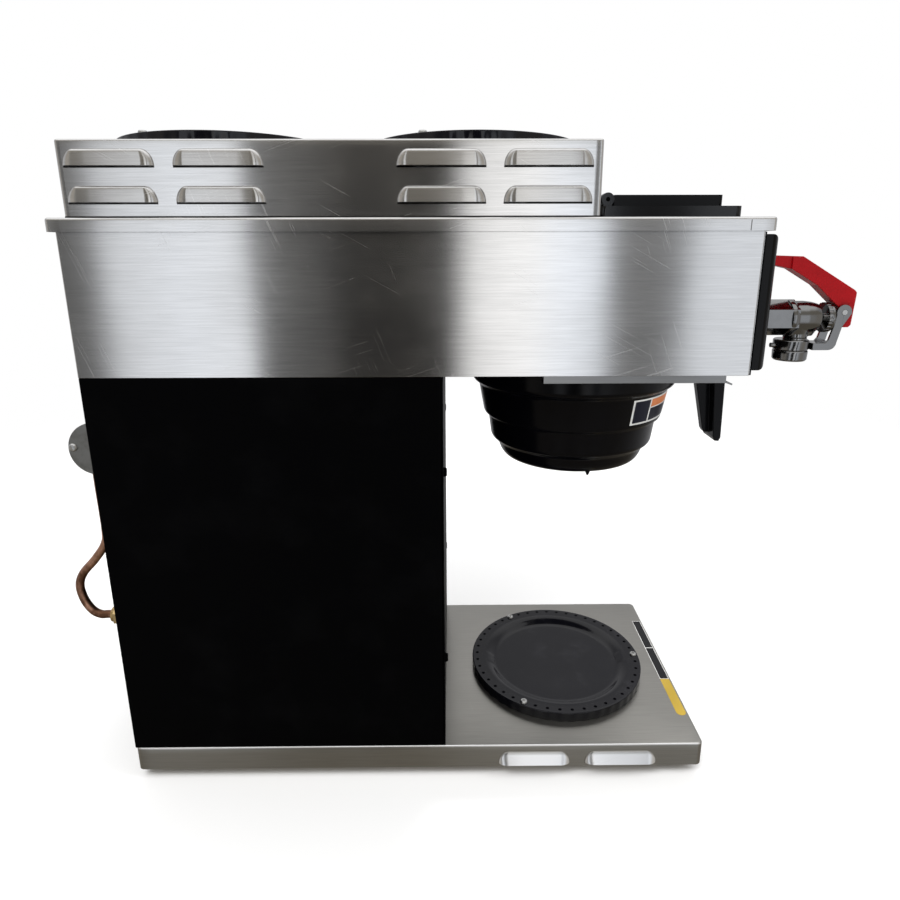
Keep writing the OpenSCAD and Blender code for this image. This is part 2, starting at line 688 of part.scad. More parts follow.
module bracket_screws() color("Silver") seat() {
    translate([tab_screw[0], bracket_y, tab_screw[1]]) rotate([90, 0, 0]) rotate_extrude($fn = 32)
        polygon([[0, 0], [3.2, 0], [3.1, 0.8], [2.2, 1.8], [0, 2.1]]);
    rod_y(tab_screw[0], bracket_y - 0.5, tab_screw[1], screw_r, 7, 32);
    for (z = bracket_screw_z) {
        rod_x(-tab_t - 2, bracket_screw_y, z, 3, 2, 32);
        rod_x(-tab_t - 0.5, bracket_screw_y, z, screw_r, 7, 32);
    }
}

module cord_grommet() color("Black") seat()
translate([0, cord_y, cord_z]) rotate([0, -90, 0]) difference() {
    rotate_extrude($fn = round_fn) polygon([
        [0, -5], [11, -5], [11, -sheet - 0.1], [9, -sheet - 0.1], [9, 0.1], [11.5, 0.1], [10, 3], [0, 3]
    ]);
    translate([0, 0, -6]) cylinder(r = cord_bore_r, h = 10, $fn = round_fn);
}

module control_board() color("Green") seat() {
    for (x = [board[0] + 5, board[1] - 5], y = [board[2] + 6, board[3] - 6])
        rod_z(x, y, floor_z + sheet, 3, 6, 24);
    block(board[0], board[1], board[2], board[3], board_z, board_z + 1.6);
    for (x = [board[0] + 6:18:board[1] - 16]) block(x, x + 12, 34, 60, board_z + 1.5, board_z + 14);
}

module terminal_block() color("Ivory") seat() {
    block(208, 240, 52, 98, base_h, base_h + 12);
    for (i = [0:3]) block(210, 238, 54 + 11 * i, 61 + 11 * i, base_h + 11, base_h + 20);
}

module switch_bodies() color("Black") seat() rocker_blocks(switch_x0, rocker_x - 5.5, -0.2, -0.2);

module ready_light() color("Red") seat() {
    rod_x(462, light_at[0], light_at[1], light_r, panel_x1 - 462, 32);
    translate([panel_x1, light_at[0], light_at[1]]) rotate([0, 90, 0]) rotate_extrude($fn = 32)
        polygon([[0, 0], [light_r + 1.4, 0], [light_r + 1.2, 0.8], [light_r - 0.6, 2], [0, 2.6]]);
}

// Rocker at its off position; it turns about Y through its own pivot
module rocker(p, tint) color(tint) seat()
translate([rocker_x, p[0], p[1]]) rotate([0, -rocker_tilt, 0]) {
    half = rocker_h / 2;
    side_plate(-rocker_w / 2, rocker_w)
        polygon([[-3, -7], [0.5, -half], [5, -half], [3, 0], [5, half], [0.5, half], [-3, 7]]);
    rod_y(0, -rocker_w / 2 - rocker_stub, 0, rocker_pin_r, rocker_w + 2 * rocker_stub, 32);
}

module power_rocker() rocker(power_at, "DarkSlateGray");
module start_rocker() rocker(start_at, "DarkSlateGray");
module lower_warmer_rocker() rocker(lower_warmer_at, "Firebrick");
module upper_front_warmer_rocker() rocker(front_warmer_at, "Firebrick");
module upper_rear_warmer_rocker() rocker(rear_warmer_at, "Firebrick");

// ---------- faucet ----------

module faucet_shank() color("Silver") seat() difference() {
    union() {
        rod_x(455, faucet_y, faucet_z, 10, 72);
        rod_x(chassis_x0 - 8, faucet_y, faucet_z, 15, 8, 6);
        rod_x(panel_x1, faucet_y, faucet_z, 14, 2);
        translate([panel_x1 + 2, faucet_y, faucet_z]) rotate([0, 90, 0])
            cylinder(r = shank_af / sqrt(3), h = barrel_x0 - panel_x1 - 2, $fn = 6);
    }
    rod_x(450, faucet_y, faucet_z, 5, 90, 32);
}

module faucet_body() color("Silver") seat() difference() {
    union() {
        translate([barrel_x0, faucet_y, faucet_z]) rotate([0, 90, 0]) rotate_extrude($fn = round_fn)
            polygon([[0, 0], [12.2, 0], [12.8, 1], [12.8, 13], [12, 18], [10.4, 23], [0, 23]]);
        translate([outlet_x, faucet_y, outlet_z]) rotate_extrude($fn = round_fn)
            polygon([[0, 0], [8.6, 0], [9, 4], [11, 10], [11, 15.5], [0, 15.5]]);
    }
    block(500, barrel_x0, faucet_y - 20, faucet_y + 20, outlet_z + 1.4, 390);
    rod_x(527, faucet_y, faucet_z, 6.5, 22, 32);
    rod_x(540, faucet_y, faucet_z, 3.3, 20, 32);
    rod_z(outlet_x, faucet_y, 345, 4.5, 20, 32);
}

module faucet_collar() color("Silver") seat() difference() {
    rod_x(barrel_x1, faucet_y, faucet_z, 11.5, 4.6);
    rod_x(barrel_x1 - 1, faucet_y, faucet_z, 3 + slide_fit, 8, 32);
    for (i = [0:23]) translate([0, faucet_y, faucet_z]) rotate([15 * i, 0, 0])
        rod_x(barrel_x1 - 1, 0, 12.1, 1, 4, 16);
}

module faucet_outlet() color("Silver") seat() difference() {
    union() {
        rod_z(outlet_x, faucet_y, outlet_z - 9, 8.6, 9);
        translate([aerator_x, faucet_y, aerator_z]) rotate_extrude($fn = round_fn) polygon([
            [0, 0], [11.4, 0], [12.4, 1.2], [12.7, 7.4], [12, 8.2],
            [12.8, 9], [12.8, 15.6], [12, 16.4], [0, 16.4]
        ]);
        rod_x(aerator_x - 16, faucet_y, outlet_z - 6, 1.8, 5, 24);
    }
    rod_z(aerator_x, faucet_y, aerator_z - 1.4, 7, 12, 48);
    rod_z(outlet_x, faucet_y, aerator_z - 1.4, 4.5, 30, 32);
}

// Points along an arc in X and Z, between two angles
function arc(x, z, r, a0, a1, n = 12) =
    [for (i = [0:n]) let (a = a0 + (a1 - a0) * i / n) [x + r * cos(a), z + r * sin(a)]];

// Strap of the yoke from the side: an eye around the pivot, an arm and a foot
module yoke_outline() polygon(concat(
    arc(pivot_x, pivot_z, 5.8, -10, 200),
    [[556.6, 362], [554, 352], [552, 349.4], [yoke_x0, 349.4], [yoke_x0, yoke_foot_z]],
    arc(yoke_bend[0], yoke_bend[1], yoke_bend[2], -90, 0, 6),
    [[563, 362]]
));

module faucet_yoke() color("Silver") seat() difference() {
    side_plate(faucet_y - yoke_half, 2 * yoke_half) yoke_outline();
    block(536, 580, faucet_y - handle_t / 2 - 0.4, faucet_y + handle_t / 2 + 0.4, 349.6, 400);
    rod_y(pivot_x, faucet_y - 20, pivot_z, 2, 40, 32);
}

module handle_pivot_pin() color("Silver") seat()
    rod_y(pivot_x, faucet_y - yoke_half - 0.3, pivot_z, 2, 2 * yoke_half + 0.6, 32);

module handle_outline() polygon([
    [498, 412.4], [499.4, 415.6], [527.9, 414.6], [570.6, 389.6], [572.1, 388], [572.2, 386],
    [571, 363], [569.2, 361.3], [565.4, 361.3], [563.8, 362.6], [559.4, 377], [541, 393.2], [520, 405.4],
    [500, 409.6]
]);

module faucet_handle() color("Red") seat() difference() {
    side_plate(faucet_y - handle_t / 2, handle_t) handle_outline();
    rod_y(pivot_x, faucet_y - 20, pivot_z, 2 + slide_fit, 40, 32);
    for (side = [0, 1]) translate([0, faucet_y, 0]) mirror([0, side, 0])
        translate([490, handle_t / 2 - 1.6, 400]) cube([30, 5, 20]);
}

module faucet_stem() color("Silver") seat() {
    rod_x(532, faucet_y, faucet_z, 3, 28.5, 32);
    rod_x(531, faucet_y, faucet_z, 4.6, 3.4, 32);
}

module faucet_supply_tube() color("Peru") seat() sweep(smooth([
    [455, faucet_y, faucet_z], [446, faucet_y, faucet_z], [400, -58, 366], [300, -66, 364],
    [200, -56, 362], [tank_x + 46, -44, 352], [faucet_port[0], faucet_port[1], 336],
    [faucet_port[0], faucet_port[1], port_end + 12.8], [faucet_port[0], faucet_port[1], port_end]
]), 5);

base_deck();
base_pan();
rubber_feet();
foot_screws();
trunk_body();
trunk_front_cover();
trunk_screws();
hood_shell();
hood_floor();
hood_top_cover();
front_chassis_plate();
front_panel();
upper_warmer_housing();
lower_warmer_plate();
upper_rear_warmer_plate();
upper_front_warmer_plate();
warmer_elements();
warmer_screws();
funnel_rails();
sprayhead();
sprayhead_tube();
pour_in_basin();
lid_hinge_pin();
pour_in_lid();
brew_funnel();
funnel_handle();
tank_shell();
tank_lid();
tank_gasket();
immersion_heater();
thermostat_bulb();
control_thermostat();
limit_thermostat();
tank_feed_tube();
inlet_tube();
bulkhead_fitting();
inlet_valve_bracket();
inlet_valve_body();
inlet_valve_coil();
valve_plunger();
bracket_screws();
cord_grommet();
control_board();
terminal_block();
switch_bodies();
faucet_shank();
faucet_body();
faucet_collar();
faucet_outlet();
faucet_yoke();
faucet_supply_tube();
faucet_stem();
handle_pivot_pin();
faucet_handle();
ready_light();
power_rocker();
start_rocker();
lower_warmer_rocker();
upper_front_warmer_rocker();
upper_rear_warmer_rocker();
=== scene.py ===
import json
import math
from collections import namedtuple

import bmesh
import bpy
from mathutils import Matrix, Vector
from mathutils.geometry import delaunay_2d_cdt


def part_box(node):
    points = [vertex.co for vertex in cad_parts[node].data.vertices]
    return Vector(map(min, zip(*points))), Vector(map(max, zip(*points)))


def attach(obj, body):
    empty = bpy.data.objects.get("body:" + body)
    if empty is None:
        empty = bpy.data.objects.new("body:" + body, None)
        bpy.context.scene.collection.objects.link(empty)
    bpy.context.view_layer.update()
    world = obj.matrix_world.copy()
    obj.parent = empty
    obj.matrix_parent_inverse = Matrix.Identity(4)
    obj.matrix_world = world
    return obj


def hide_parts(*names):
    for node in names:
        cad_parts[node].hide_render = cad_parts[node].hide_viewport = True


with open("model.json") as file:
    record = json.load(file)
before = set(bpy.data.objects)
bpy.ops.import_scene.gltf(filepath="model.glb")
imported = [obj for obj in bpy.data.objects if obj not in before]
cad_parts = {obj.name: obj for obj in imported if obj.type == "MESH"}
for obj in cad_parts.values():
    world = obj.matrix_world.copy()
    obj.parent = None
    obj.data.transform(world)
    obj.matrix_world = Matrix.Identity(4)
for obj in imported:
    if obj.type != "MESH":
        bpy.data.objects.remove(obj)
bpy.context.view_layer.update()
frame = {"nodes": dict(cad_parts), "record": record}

# ---------- places ----------

MM = 0.001
REAR_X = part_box("trunk_body")[0].x
UNDER_Z, DECK_Z = [corner.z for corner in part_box("base_deck")]
Extent = namedtuple("Extent", "x0 x1 y0 y1 z0 z1")


def at(x, y, z):
    """A place in metres from millimetres ahead of the trunk's rear face and over the base's underside."""
    return Vector((REAR_X + x * MM, y * MM, UNDER_Z + z * MM))


def extent(node):
    """A node's box in the millimetres that at() takes."""
    low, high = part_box(node)
    return Extent(
        (low.x - REAR_X) / MM, (high.x - REAR_X) / MM, low.y / MM, high.y / MM,
        (low.z - UNDER_Z) / MM, (high.z - UNDER_Z) / MM,
    )


# ---------- camera, floor and light ----------

CAMERA_AT = (262.7, -549.4, 421.6)
CAMERA_PITCH, CAMERA_YAW, CAMERA_ROLL = 14.63, 0.53, 0.12
LENS, SENSOR = 25.43, 36
SHIFT = (-0.0071, -0.0407)


def make_camera():
    """The one camera, beside the brewer and looking down at it."""
    data = bpy.data.cameras.new("camera")
    data.sensor_width, data.lens = SENSOR, LENS
    data.shift_x, data.shift_y = SHIFT
    data.clip_start, data.clip_end = 0.01, 50
    camera = bpy.data.objects.new("camera", data)
    camera.location = at(*CAMERA_AT)
    camera.rotation_euler = [math.radians(a) for a in (90 - CAMERA_PITCH, CAMERA_ROLL, -CAMERA_YAW)]
    bpy.context.scene.collection.objects.link(camera)
    bpy.context.scene.camera = camera


make_camera()

# ---------- node trees ----------


class Tree:
    """Short calls for building a node tree."""

    def __init__(self, tree):
        self.tree = tree

    def node(self, kind, inputs=None, **settings):
        made = self.tree.nodes.new(kind)
        for key, value in settings.items():
            setattr(made, key, value)
        for key, value in (inputs or {}).items():
            self.put(made.inputs[key], value)
        return made

    def put(self, socket, value):
        """Links a socket to another one, or sets its value."""
        if isinstance(value, bpy.types.NodeSocket):
            self.tree.links.new(value, socket)
        else:
            socket.default_value = value

    def math(self, operation, a, b=0.0, clamp=False):
        return self.node("ShaderNodeMath", {0: a, 1: b}, operation=operation, use_clamp=clamp).outputs[0]

    def span(self, value, low, high, to_low=0.0, to_high=1.0, smooth=False):
        """A value between low and high, spread over another range."""
        kind = "SMOOTHSTEP" if smooth else "LINEAR"
        inputs = {"Value": value, "From Min": low, "From Max": high, "To Min": to_low, "To Max": to_high}
        return self.node("ShaderNodeMapRange", inputs, interpolation_type=kind).outputs["Result"]

    def mix(self, amount, a, b):
        inputs = {"Factor": amount, 6: a, 7: b}
        return self.node("ShaderNodeMix", inputs, data_type="RGBA").outputs[2]

    def split(self, vector):
        return self.node("ShaderNodeSeparateXYZ", {0: vector}).outputs


def rgb(red, green, blue):
    """A solid colour as a socket takes it."""
    return (red, green, blue, 1.0)


FLOOR_R = 3
FLOOR_FADE = (0.7, 1.5)


def make_floor():
    """A pale round floor whose far parts fade into the white behind it."""
    bpy.ops.mesh.primitive_circle_add(vertices=128, radius=FLOOR_R, fill_type="NGON", location=(0, 0, 0))
    floor = bpy.context.object
    floor.name = "floor"
    material = bpy.data.materials.new("pale_floor")
    material.use_nodes = True
    tree = Tree(material.node_tree)
    shader = material.node_tree.nodes["Principled BSDF"]
    shader.inputs["Base Color"].default_value = rgb(0.92, 0.92, 0.92)
    shader.inputs["Roughness"].default_value = 0.9
    shader.inputs["Specular IOR Level"].default_value = 0.1
    place = tree.node("ShaderNodeTexCoord").outputs["Object"]
    away = tree.node("ShaderNodeVectorMath", {0: place}, operation="LENGTH").outputs["Value"]
    clear = tree.node("ShaderNodeBsdfTransparent").outputs[0]
    amount = tree.span(away, *FLOOR_FADE, smooth=True)
    fade = tree.node("ShaderNodeMixShader", {0: amount, 1: shader.outputs[0], 2: clear})
    tree.put(material.node_tree.nodes["Material Output"].inputs["Surface"], fade.outputs[0])
    floor.data.materials.append(material)
    floor.visible_glossy = False


# The studio in front of the brewer: how far to the side of straight ahead, brightness, and blueness
STUDIO_BANDS = [
    (-1.20, 0.38, -0.06), (-0.80, 0.20, 0), (-0.62, 0.10, 0), (-0.55, 0.12, 0), (-0.53, 0.90, 0.03),
    (-0.42, 1.08, 0.04), (-0.315, 1.06, 0.03), (-0.30, 0.14, 0), (-0.20, 0.085, 0), (-0.16, 0.02, 0),
    (0.00, 0.02, -0.03), (0.035, 1.15, 0), (0.13, 1.36, 0), (0.16, 1.32, 0.04), (0.235, 1.10, 0.05),
    (0.258, 0.15, 0), (0.35, 0.20, 0.02), (0.385, 0.92, 0.04), (0.50, 0.95, 0.04), (0.80, 0.50, 0),
    (1.20, 0.42, -0.06),
]
BAND_REACH = 1.2
ABOVE, BELOW = rgb(0.33, 0.30, 0.25), rgb(0.22, 0.195, 0.155)
REAR_ROOM, CEILING = rgb(0.48, 0.48, 0.49), rgb(1.15, 1.15, 1.15)
BACKDROP = rgb(1.0, 1.0, 1.0)
# Where each gives way to the next, on the unit sphere of directions
ABOVE_Z, CEILING_Z, BELOW_Z, FRONT_Y = (0.24, 0.36), (0.55, 0.8), (-0.38, -0.60), (-0.15, -0.35)
ABOVE_SHARE = 0.85


def make_world():
    """A soft studio: tall bright and dark panels in front, an even room behind, and a bright ceiling."""
    world = bpy.data.worlds.new("studio")
    world.use_nodes = True
    bpy.context.scene.world = world
    tree = Tree(world.node_tree)
    background = world.node_tree.nodes["Background"]
    x, y, z = tree.split(tree.node("ShaderNodeTexCoord").outputs["Generated"])
    ahead = tree.math("MAXIMUM", tree.math("MULTIPLY", y, -1.0), 0.04)
    side = tree.math("DIVIDE", x, ahead)
    ramp = tree.node("ShaderNodeValToRGB", {0: tree.span(side, -BAND_REACH, BAND_REACH)})
    stops = ramp.color_ramp.elements
    for i, (place, light, cool) in enumerate(STUDIO_BANDS):
        where = (place + BAND_REACH) / (2 * BAND_REACH)
        stop = stops[i] if i < 2 else stops.new(where)
        stop.position = where
        stop.color = rgb(light * (1 - cool), light, light * (1 + 1.5 * cool))
    panels = tree.mix(tree.span(z, *ABOVE_Z, 0.0, ABOVE_SHARE, smooth=True), ramp.outputs[0], ABOVE)
    room = tree.mix(tree.span(y, *FRONT_Y, smooth=True), REAR_ROOM, panels)
    ceiling = tree.mix(tree.span(z, *CEILING_Z, smooth=True), room, CEILING)
    low = tree.mix(tree.span(z, *BELOW_Z, smooth=True), ceiling, BELOW)
    seen = tree.node("ShaderNodeLightPath").outputs["Is Camera Ray"]
    tree.put(background.inputs["Color"], tree.mix(seen, low, BACKDROP))
    background.inputs["Strength"].default_value = 1.0


# Each light's place in metres, its width and height, and its power
LIGHTS = {
    "key_softbox": ((-0.9, -1.3, 2.3), (1.4, 1.0), 37),
    "fill_softbox": ((1.7, -0.4, 1.5), (0.9, 1.4), 13),
    "rear_softbox": ((0.4, 1.9, 1.9), (1.6, 0.9), 26),
}
LIGHT_AIM = (0, 0, 0.3)


def make_light(name, place, size, power):
    """A rectangular softbox that shows neither itself nor its reflection."""
    data = bpy.data.lights.new(name, "AREA")
    data.shape = "RECTANGLE"
    data.size, data.size_y = size
    data.energy = power
    lamp = bpy.data.objects.new(name, data)
    lamp.location = place
    lamp.rotation_euler = (Vector(LIGHT_AIM) - Vector(place)).to_track_quat("-Z", "Y").to_euler()
    lamp.visible_camera = False
    lamp.visible_glossy = False
    bpy.context.scene.collection.objects.link(lamp)


make_floor()
make_world()
for name, light in LIGHTS.items():
    make_light(name, *light)
bpy.context.scene.view_settings.view_transform = "Standard"

# ---------- finishes ----------


class Finish(Tree):
    """A material: one Principled shader with noise-driven colour, roughness and bump."""

    def __init__(self, name, color, roughness, **sockets):
        self.material = bpy.data.materials.new(name)
        self.material.use_nodes = True
        super().__init__(self.material.node_tree)
        self.shader = self.material.node_tree.nodes["Principled BSDF"]
        self.shader.inputs["Base Color"].default_value = rgb(*color)
        self.shader.inputs["Roughness"].default_value = roughness
        self.shader.inputs["Specular IOR Level"].default_value = 0.5
        for key, value in sockets.items():
            self.shader.inputs[key.replace("_", " ")].default_value = value
        self.place = self.node("ShaderNodeTexCoord").outputs["Object"]
        self.bumped = None

    def noise(self, scale, detail=2.0, rough=0.5, place=None, turn=(0, 0, 0)):
        """Noise with so many bumps a metre along X, Y and Z."""
        sizes = [1 / s for s in scale]
        placing = {0: place or self.place, "Rotation": turn, "Scale": sizes}
        mapped = self.node("ShaderNodeMapping", placing, vector_type="TEXTURE")
        inputs = {"Vector": mapped.outputs[0], "Scale": 1.0, "Detail": detail, "Roughness": rough}
        return self.node("ShaderNodeTexNoise", inputs).outputs["Fac"]

    def colour(self, amount, a, b):
        """Base colour from a to b by amount."""
        start = a if isinstance(a, bpy.types.NodeSocket) else rgb(*a)
        self.put(self.shader.inputs["Base Color"], self.mix(amount, start, rgb(*b)))

    def rough(self, value):
        self.put(self.shader.inputs["Roughness"], value)

    def bump(self, height, strength, depth):
        inputs = {"Height": height, "Strength": strength, "Distance": depth}
        if self.bumped:
            inputs["Normal"] = self.bumped
        self.bumped = self.node("ShaderNodeBump", inputs).outputs[0]
        self.put(self.shader.inputs["Normal"], self.bumped)


def scaled(color, by):
    return [c * by for c in color]


# Each set of scratches: how it is turned, and how many marks a metre along X, Y and Z
SCRATCHES = (
    ((0, 0.5, 0), (8, 8, 1700)),
    ((0, -0.32, 0.2), (10, 10, 1900)),
    ((0, 1.2, 0.1), (18, 18, 2100)),
)
# How high the noise has to be for a mark, and for a patch that has marks
MARK_LEVEL, PATCH_LEVEL = (0.70, 0.72), (0.58, 0.63)


def brush_frame(look):
    """Lays the shader's tangent along the brushing, and gives the place with its first axis along it."""
    normal = look.node("ShaderNodeNewGeometry").outputs["Normal"]
    nx, _, nz = look.split(normal)
    x, y, z = look.split(look.place)
    end_face = look.math("GREATER_THAN", look.math("ABSOLUTE", nx), 0.7)
    swapped = look.node("ShaderNodeCombineXYZ", {0: y, 1: x, 2: z}).outputs[0]
    inputs = {"Factor": end_face, 4: look.place, 5: swapped}
    along = look.node("ShaderNodeMix", inputs, data_type="VECTOR").outputs[1]
    level = look.node("ShaderNodeCombineXYZ", {0: look.math("ABSOLUTE", nz)}).outputs[0]
    crossed = look.node("ShaderNodeVectorMath", {0: normal, 1: (0, 0, 1)}, operation="CROSS_PRODUCT")
    tangent = look.node("ShaderNodeVectorMath", {0: crossed.outputs[0], 1: level}, operation="ADD")
    look.put(look.shader.inputs["Tangent"], tangent.outputs[0])
    return along


# Where a tray's painted highlight starts and is full: out from its walls, and down and in from its top edge
PROUD, BEND_DOWN, BEND_IN = (0.3 * MM, 1.2 * MM), (1.3 * MM, 0.6 * MM), 1.1 * MM


def painted_edge_highlight(look, tone, half, top, light):
    """Painted highlight: lightens what stands proud of a tray's long walls, and the bend at their top."""
    _, y, z = look.split(look.place)
    aside = look.math("ABSOLUTE", y)
    proud = look.span(aside, *[half + reach for reach in PROUD])
    edge = look.math("GREATER_THAN", aside, half - BEND_IN)
    bend = look.math("MULTIPLY", look.span(z, *[top - reach for reach in BEND_DOWN]), edge)
    return look.mix(look.math("MAXIMUM", proud, bend), tone, rgb(light, light, light))


def scratch_marks(look, strength):
    """Thin straight scratches in scattered patches, from 0 to the strength."""
    marks = []
    for turn, scale in SCRATCHES:
        thin = look.span(look.noise(scale, 1, 0.4, look.place, turn), *MARK_LEVEL)
        patch = look.span(look.noise((19, 19, 19), 1, 0.4, look.place, turn), *PATCH_LEVEL)
        marks.append(look.math("MULTIPLY", thin, patch))
    both = look.math("ADD", marks[0], marks[1])
    return look.math("MULTIPLY", look.math("ADD", both, marks[2], clamp=True), strength)


def brushed(name, color, roughness, grain, scratches, aniso, wear_and_highlight=None):
    """Sheet steel brushed along its length: grain lines, cloudy patches, and a few thin scratches.

    The last argument is the half width, top and lightness of a tray whose proud parts and top bend get a
    painted highlight.
    """
    look = Finish(name, color, roughness, Metallic=1.0, Anisotropic=aniso, Anisotropic_Rotation=0.25)
    along = brush_frame(look)
    fine = look.noise((34, 1200, 1200), 2, 0.5, along)
    streak = look.noise((7, 240, 240), 2, 0.5, along)
    cloud = look.noise((14, 14, 14), 3, 0.55)
    lines = look.math("ADD", look.math("MULTIPLY", fine, 0.9), look.math("MULTIPLY", streak, 0.1))
    tone = look.mix(look.span(lines, 0.3, 0.7), rgb(*scaled(color, 0.92)), rgb(*scaled(color, 1.04)))
    # Painted highlight on the tray's louver blades and on the bend at its top
    if wear_and_highlight:
        tone = painted_edge_highlight(look, tone, *wear_and_highlight)
    mark = scratch_marks(look, scratches)
    look.colour(mark, tone, scaled(color, 1.36))
    hazy = look.span(cloud, 0.35, 0.65, roughness - 0.02, roughness + 0.03)
    look.rough(look.math("ADD", hazy, look.math("MULTIPLY", mark, 0.22)))
    look.bump(lines, grain, 0.00001)
    return look.material


def enamel(name, color, roughness):
    """Glossy porcelain: a faint orange peel and dust that dulls it here and there."""
    look = Finish(name, color, roughness, IOR=1.5, Specular_IOR_Level=0.36)
    peel = look.noise((260, 260, 260), 2)
    dust = look.noise((40, 40, 40), 4, 0.65)
    look.colour(look.span(dust, 0.55, 0.75), color, [c * 1.5 + 0.004 for c in color])
    look.rough(look.span(dust, 0.35, 0.7, roughness * 0.8, roughness * 1.8))
    look.bump(peel, 0.12, 0.0002)
    return look.material


def painted(name, color, roughness):
    """Powder coat: fine even texture with slightly rubbed patches."""
    look = Finish(name, color, roughness, IOR=1.48, Specular_IOR_Level=0.02)
    texture = look.noise((1500, 1500, 1500), 2)
    wear_and_highlight = look.noise((22, 22, 22), 4, 0.6)
    look.colour(look.span(wear_and_highlight, 0.5, 0.75), color, [c * 1.35 + 0.0006 for c in color])
    look.rough(look.span(wear_and_highlight, 0.35, 0.7, roughness * 0.9, roughness * 1.2))
    look.bump(texture, 0.10, 0.0001)
    return look.material


def moulded(name, color, roughness, texture=900, depth=0.00006, strength=0.12, **sockets):
    """Moulded plastic or rubber: a fine mould texture and faint flow marks."""
    look = Finish(name, color, roughness, IOR=1.5, **sockets)
    skin = look.noise((texture, texture, texture), 2)
    flow = look.noise((18, 18, 40), 3, 0.6)
    look.colour(look.span(flow, 0.35, 0.7), scaled(color, 0.88), [c * 1.15 + 0.0004 for c in color])
    look.rough(look.span(flow, 0.3, 0.7, roughness * 0.9, roughness * 1.12))
    look.bump(skin, strength, depth)
    return look.material


def plated(name, color, roughness, wear=0.1, texture=300):
    """Plated or machined metal: small cast waves, and smudges that darken and dull it."""
    look = Finish(name, color, roughness, Metallic=1.0)
    wave = look.noise((texture, texture, texture), 2)
    smudge = look.noise((70, 70, 70), 4, 0.65)
    worn = look.math("MULTIPLY", look.span(smudge, 0.5, 0.75), wear * 4, clamp=True)
    look.colour(worn, color, scaled(color, 0.62))
    look.rough(look.span(smudge, 0.35, 0.7, roughness * 0.8, roughness + wear))
    look.bump(wave, 0.08, 0.0001)
    return look.material


def copper(name):
    """Handled copper tube: bright patches between brown tarnish, on a slightly uneven surface."""
    look = Finish(name, (0.62, 0.30, 0.17), 0.3, Metallic=1.0)
    tarnish = look.noise((60, 60, 30), 5, 0.65)
    look.colour(look.span(tarnish, 0.42, 0.6), (0.74, 0.42, 0.29), (0.20, 0.10, 0.06))
    look.rough(look.span(tarnish, 0.35, 0.65, 0.2, 0.48))
    look.bump(look.noise((500, 500, 500), 3), 0.1, 0.0001)
    return look.material


STEEL, DECK_STEEL, RAIL_SHADED_STEEL = (0.73, 0.725, 0.72), (0.40, 0.39, 0.365), (0.30, 0.30, 0.30)
PLASTIC, FUNNEL_PLASTIC = (0.0012, 0.0012, 0.0016), (0.0012, 0.0012, 0.002)
# The base's half width, and the lightness of the painted highlight on its louver blades and top bend
BASE_HALF, EDGE_HIGHLIGHT = 108, 0.95
FINISH = {
    "stainless": brushed("stainless", STEEL, 0.17, grain=0.06, scratches=0.45, aniso=0.97),
    "deck_stainless": brushed(
        "deck_stainless", DECK_STEEL, 0.31, grain=0.05, scratches=0.1, aniso=0.6,
        wear_and_highlight=(BASE_HALF * MM, DECK_Z, EDGE_HIGHLIGHT),
    ),
    # The rails' stainless, much darker than the hood's: painted shade for the rails under the hood
    "rail_stainless_painted_shade": brushed("rail_stainless_painted_shade", RAIL_SHADED_STEEL, 0.30, grain=0.05, scratches=0.1, aniso=0.6),
    "black_paint": painted("black_paint", (0.0009, 0.0009, 0.0011), 0.38),
    "black_enamel": enamel("black_enamel", (0.004, 0.004, 0.006), 0.10),
    "black_plastic": moulded("black_plastic", PLASTIC, 0.2, Specular_IOR_Level=0.2),
    "glossy_plastic": moulded("glossy_plastic", PLASTIC, 0.1, Specular_IOR_Level=0.5),
    "funnel_plastic": moulded("funnel_plastic", FUNNEL_PLASTIC, 0.2, texture=500, Specular_IOR_Level=0.16),
    "chromed_brass": plated("chromed_brass", (0.25, 0.25, 0.25), 0.10, wear=0.06),
    "zinc_steel": plated("zinc_steel", (0.60, 0.60, 0.59), 0.30, wear=0.12, texture=900),
    "grey_steel": plated("grey_steel", (0.30, 0.30, 0.29), 0.42, wear=0.2, texture=700),
    "red_plastic": moulded("red_plastic", (0.33, 0.002, 0.005), 0.34, texture=700, Specular_IOR_Level=0.2),
    "copper_tube": copper("copper_tube"),
    "yellow_brass": plated("yellow_brass", (0.72, 0.53, 0.26), 0.24, wear=0.12),
    "black_rubber": moulded("black_rubber", (0.014, 0.014, 0.014), 0.75, texture=1800, strength=0.3),
    "orange_silicone": moulded("orange_silicone", (0.62, 0.18, 0.07), 0.6),
    "white_plastic": moulded("white_plastic", (0.80, 0.79, 0.75), 0.4),
    "green_board": moulded("green_board", (0.03, 0.16, 0.07), 0.45),
    "heater_sheath": plated("heater_sheath", (0.26, 0.25, 0.24), 0.5, wear=0.2),
    "lamp_red": moulded("lamp_red", (0.60, 0.02, 0.015), 0.15, texture=200),
}

STICKERS = {
    "sticker_white": (0.72, 0.72, 0.70),
    "sticker_blue": (0.004, 0.005, 0.016),
    "sticker_orange": (0.70, 0.22, 0.07),
    "sticker_yellow": (0.50, 0.34, 0.045),
    "sticker_black": (0.01, 0.01, 0.011),
}
for key, color in STICKERS.items():
    FINISH[key] = moulded(key, color, 0.34, texture=300, strength=0.04, Specular_IOR_Level=0.2)

# ---------- mesh building ----------


def polar(x, y, radius, first, last, steps):
    """Points on an arc between two angles in degrees."""
    angles = [math.radians(first + (last - first) * i / steps) for i in range(steps + 1)]
    return [(x + radius * math.cos(a), y + radius * math.sin(a)) for a in angles]


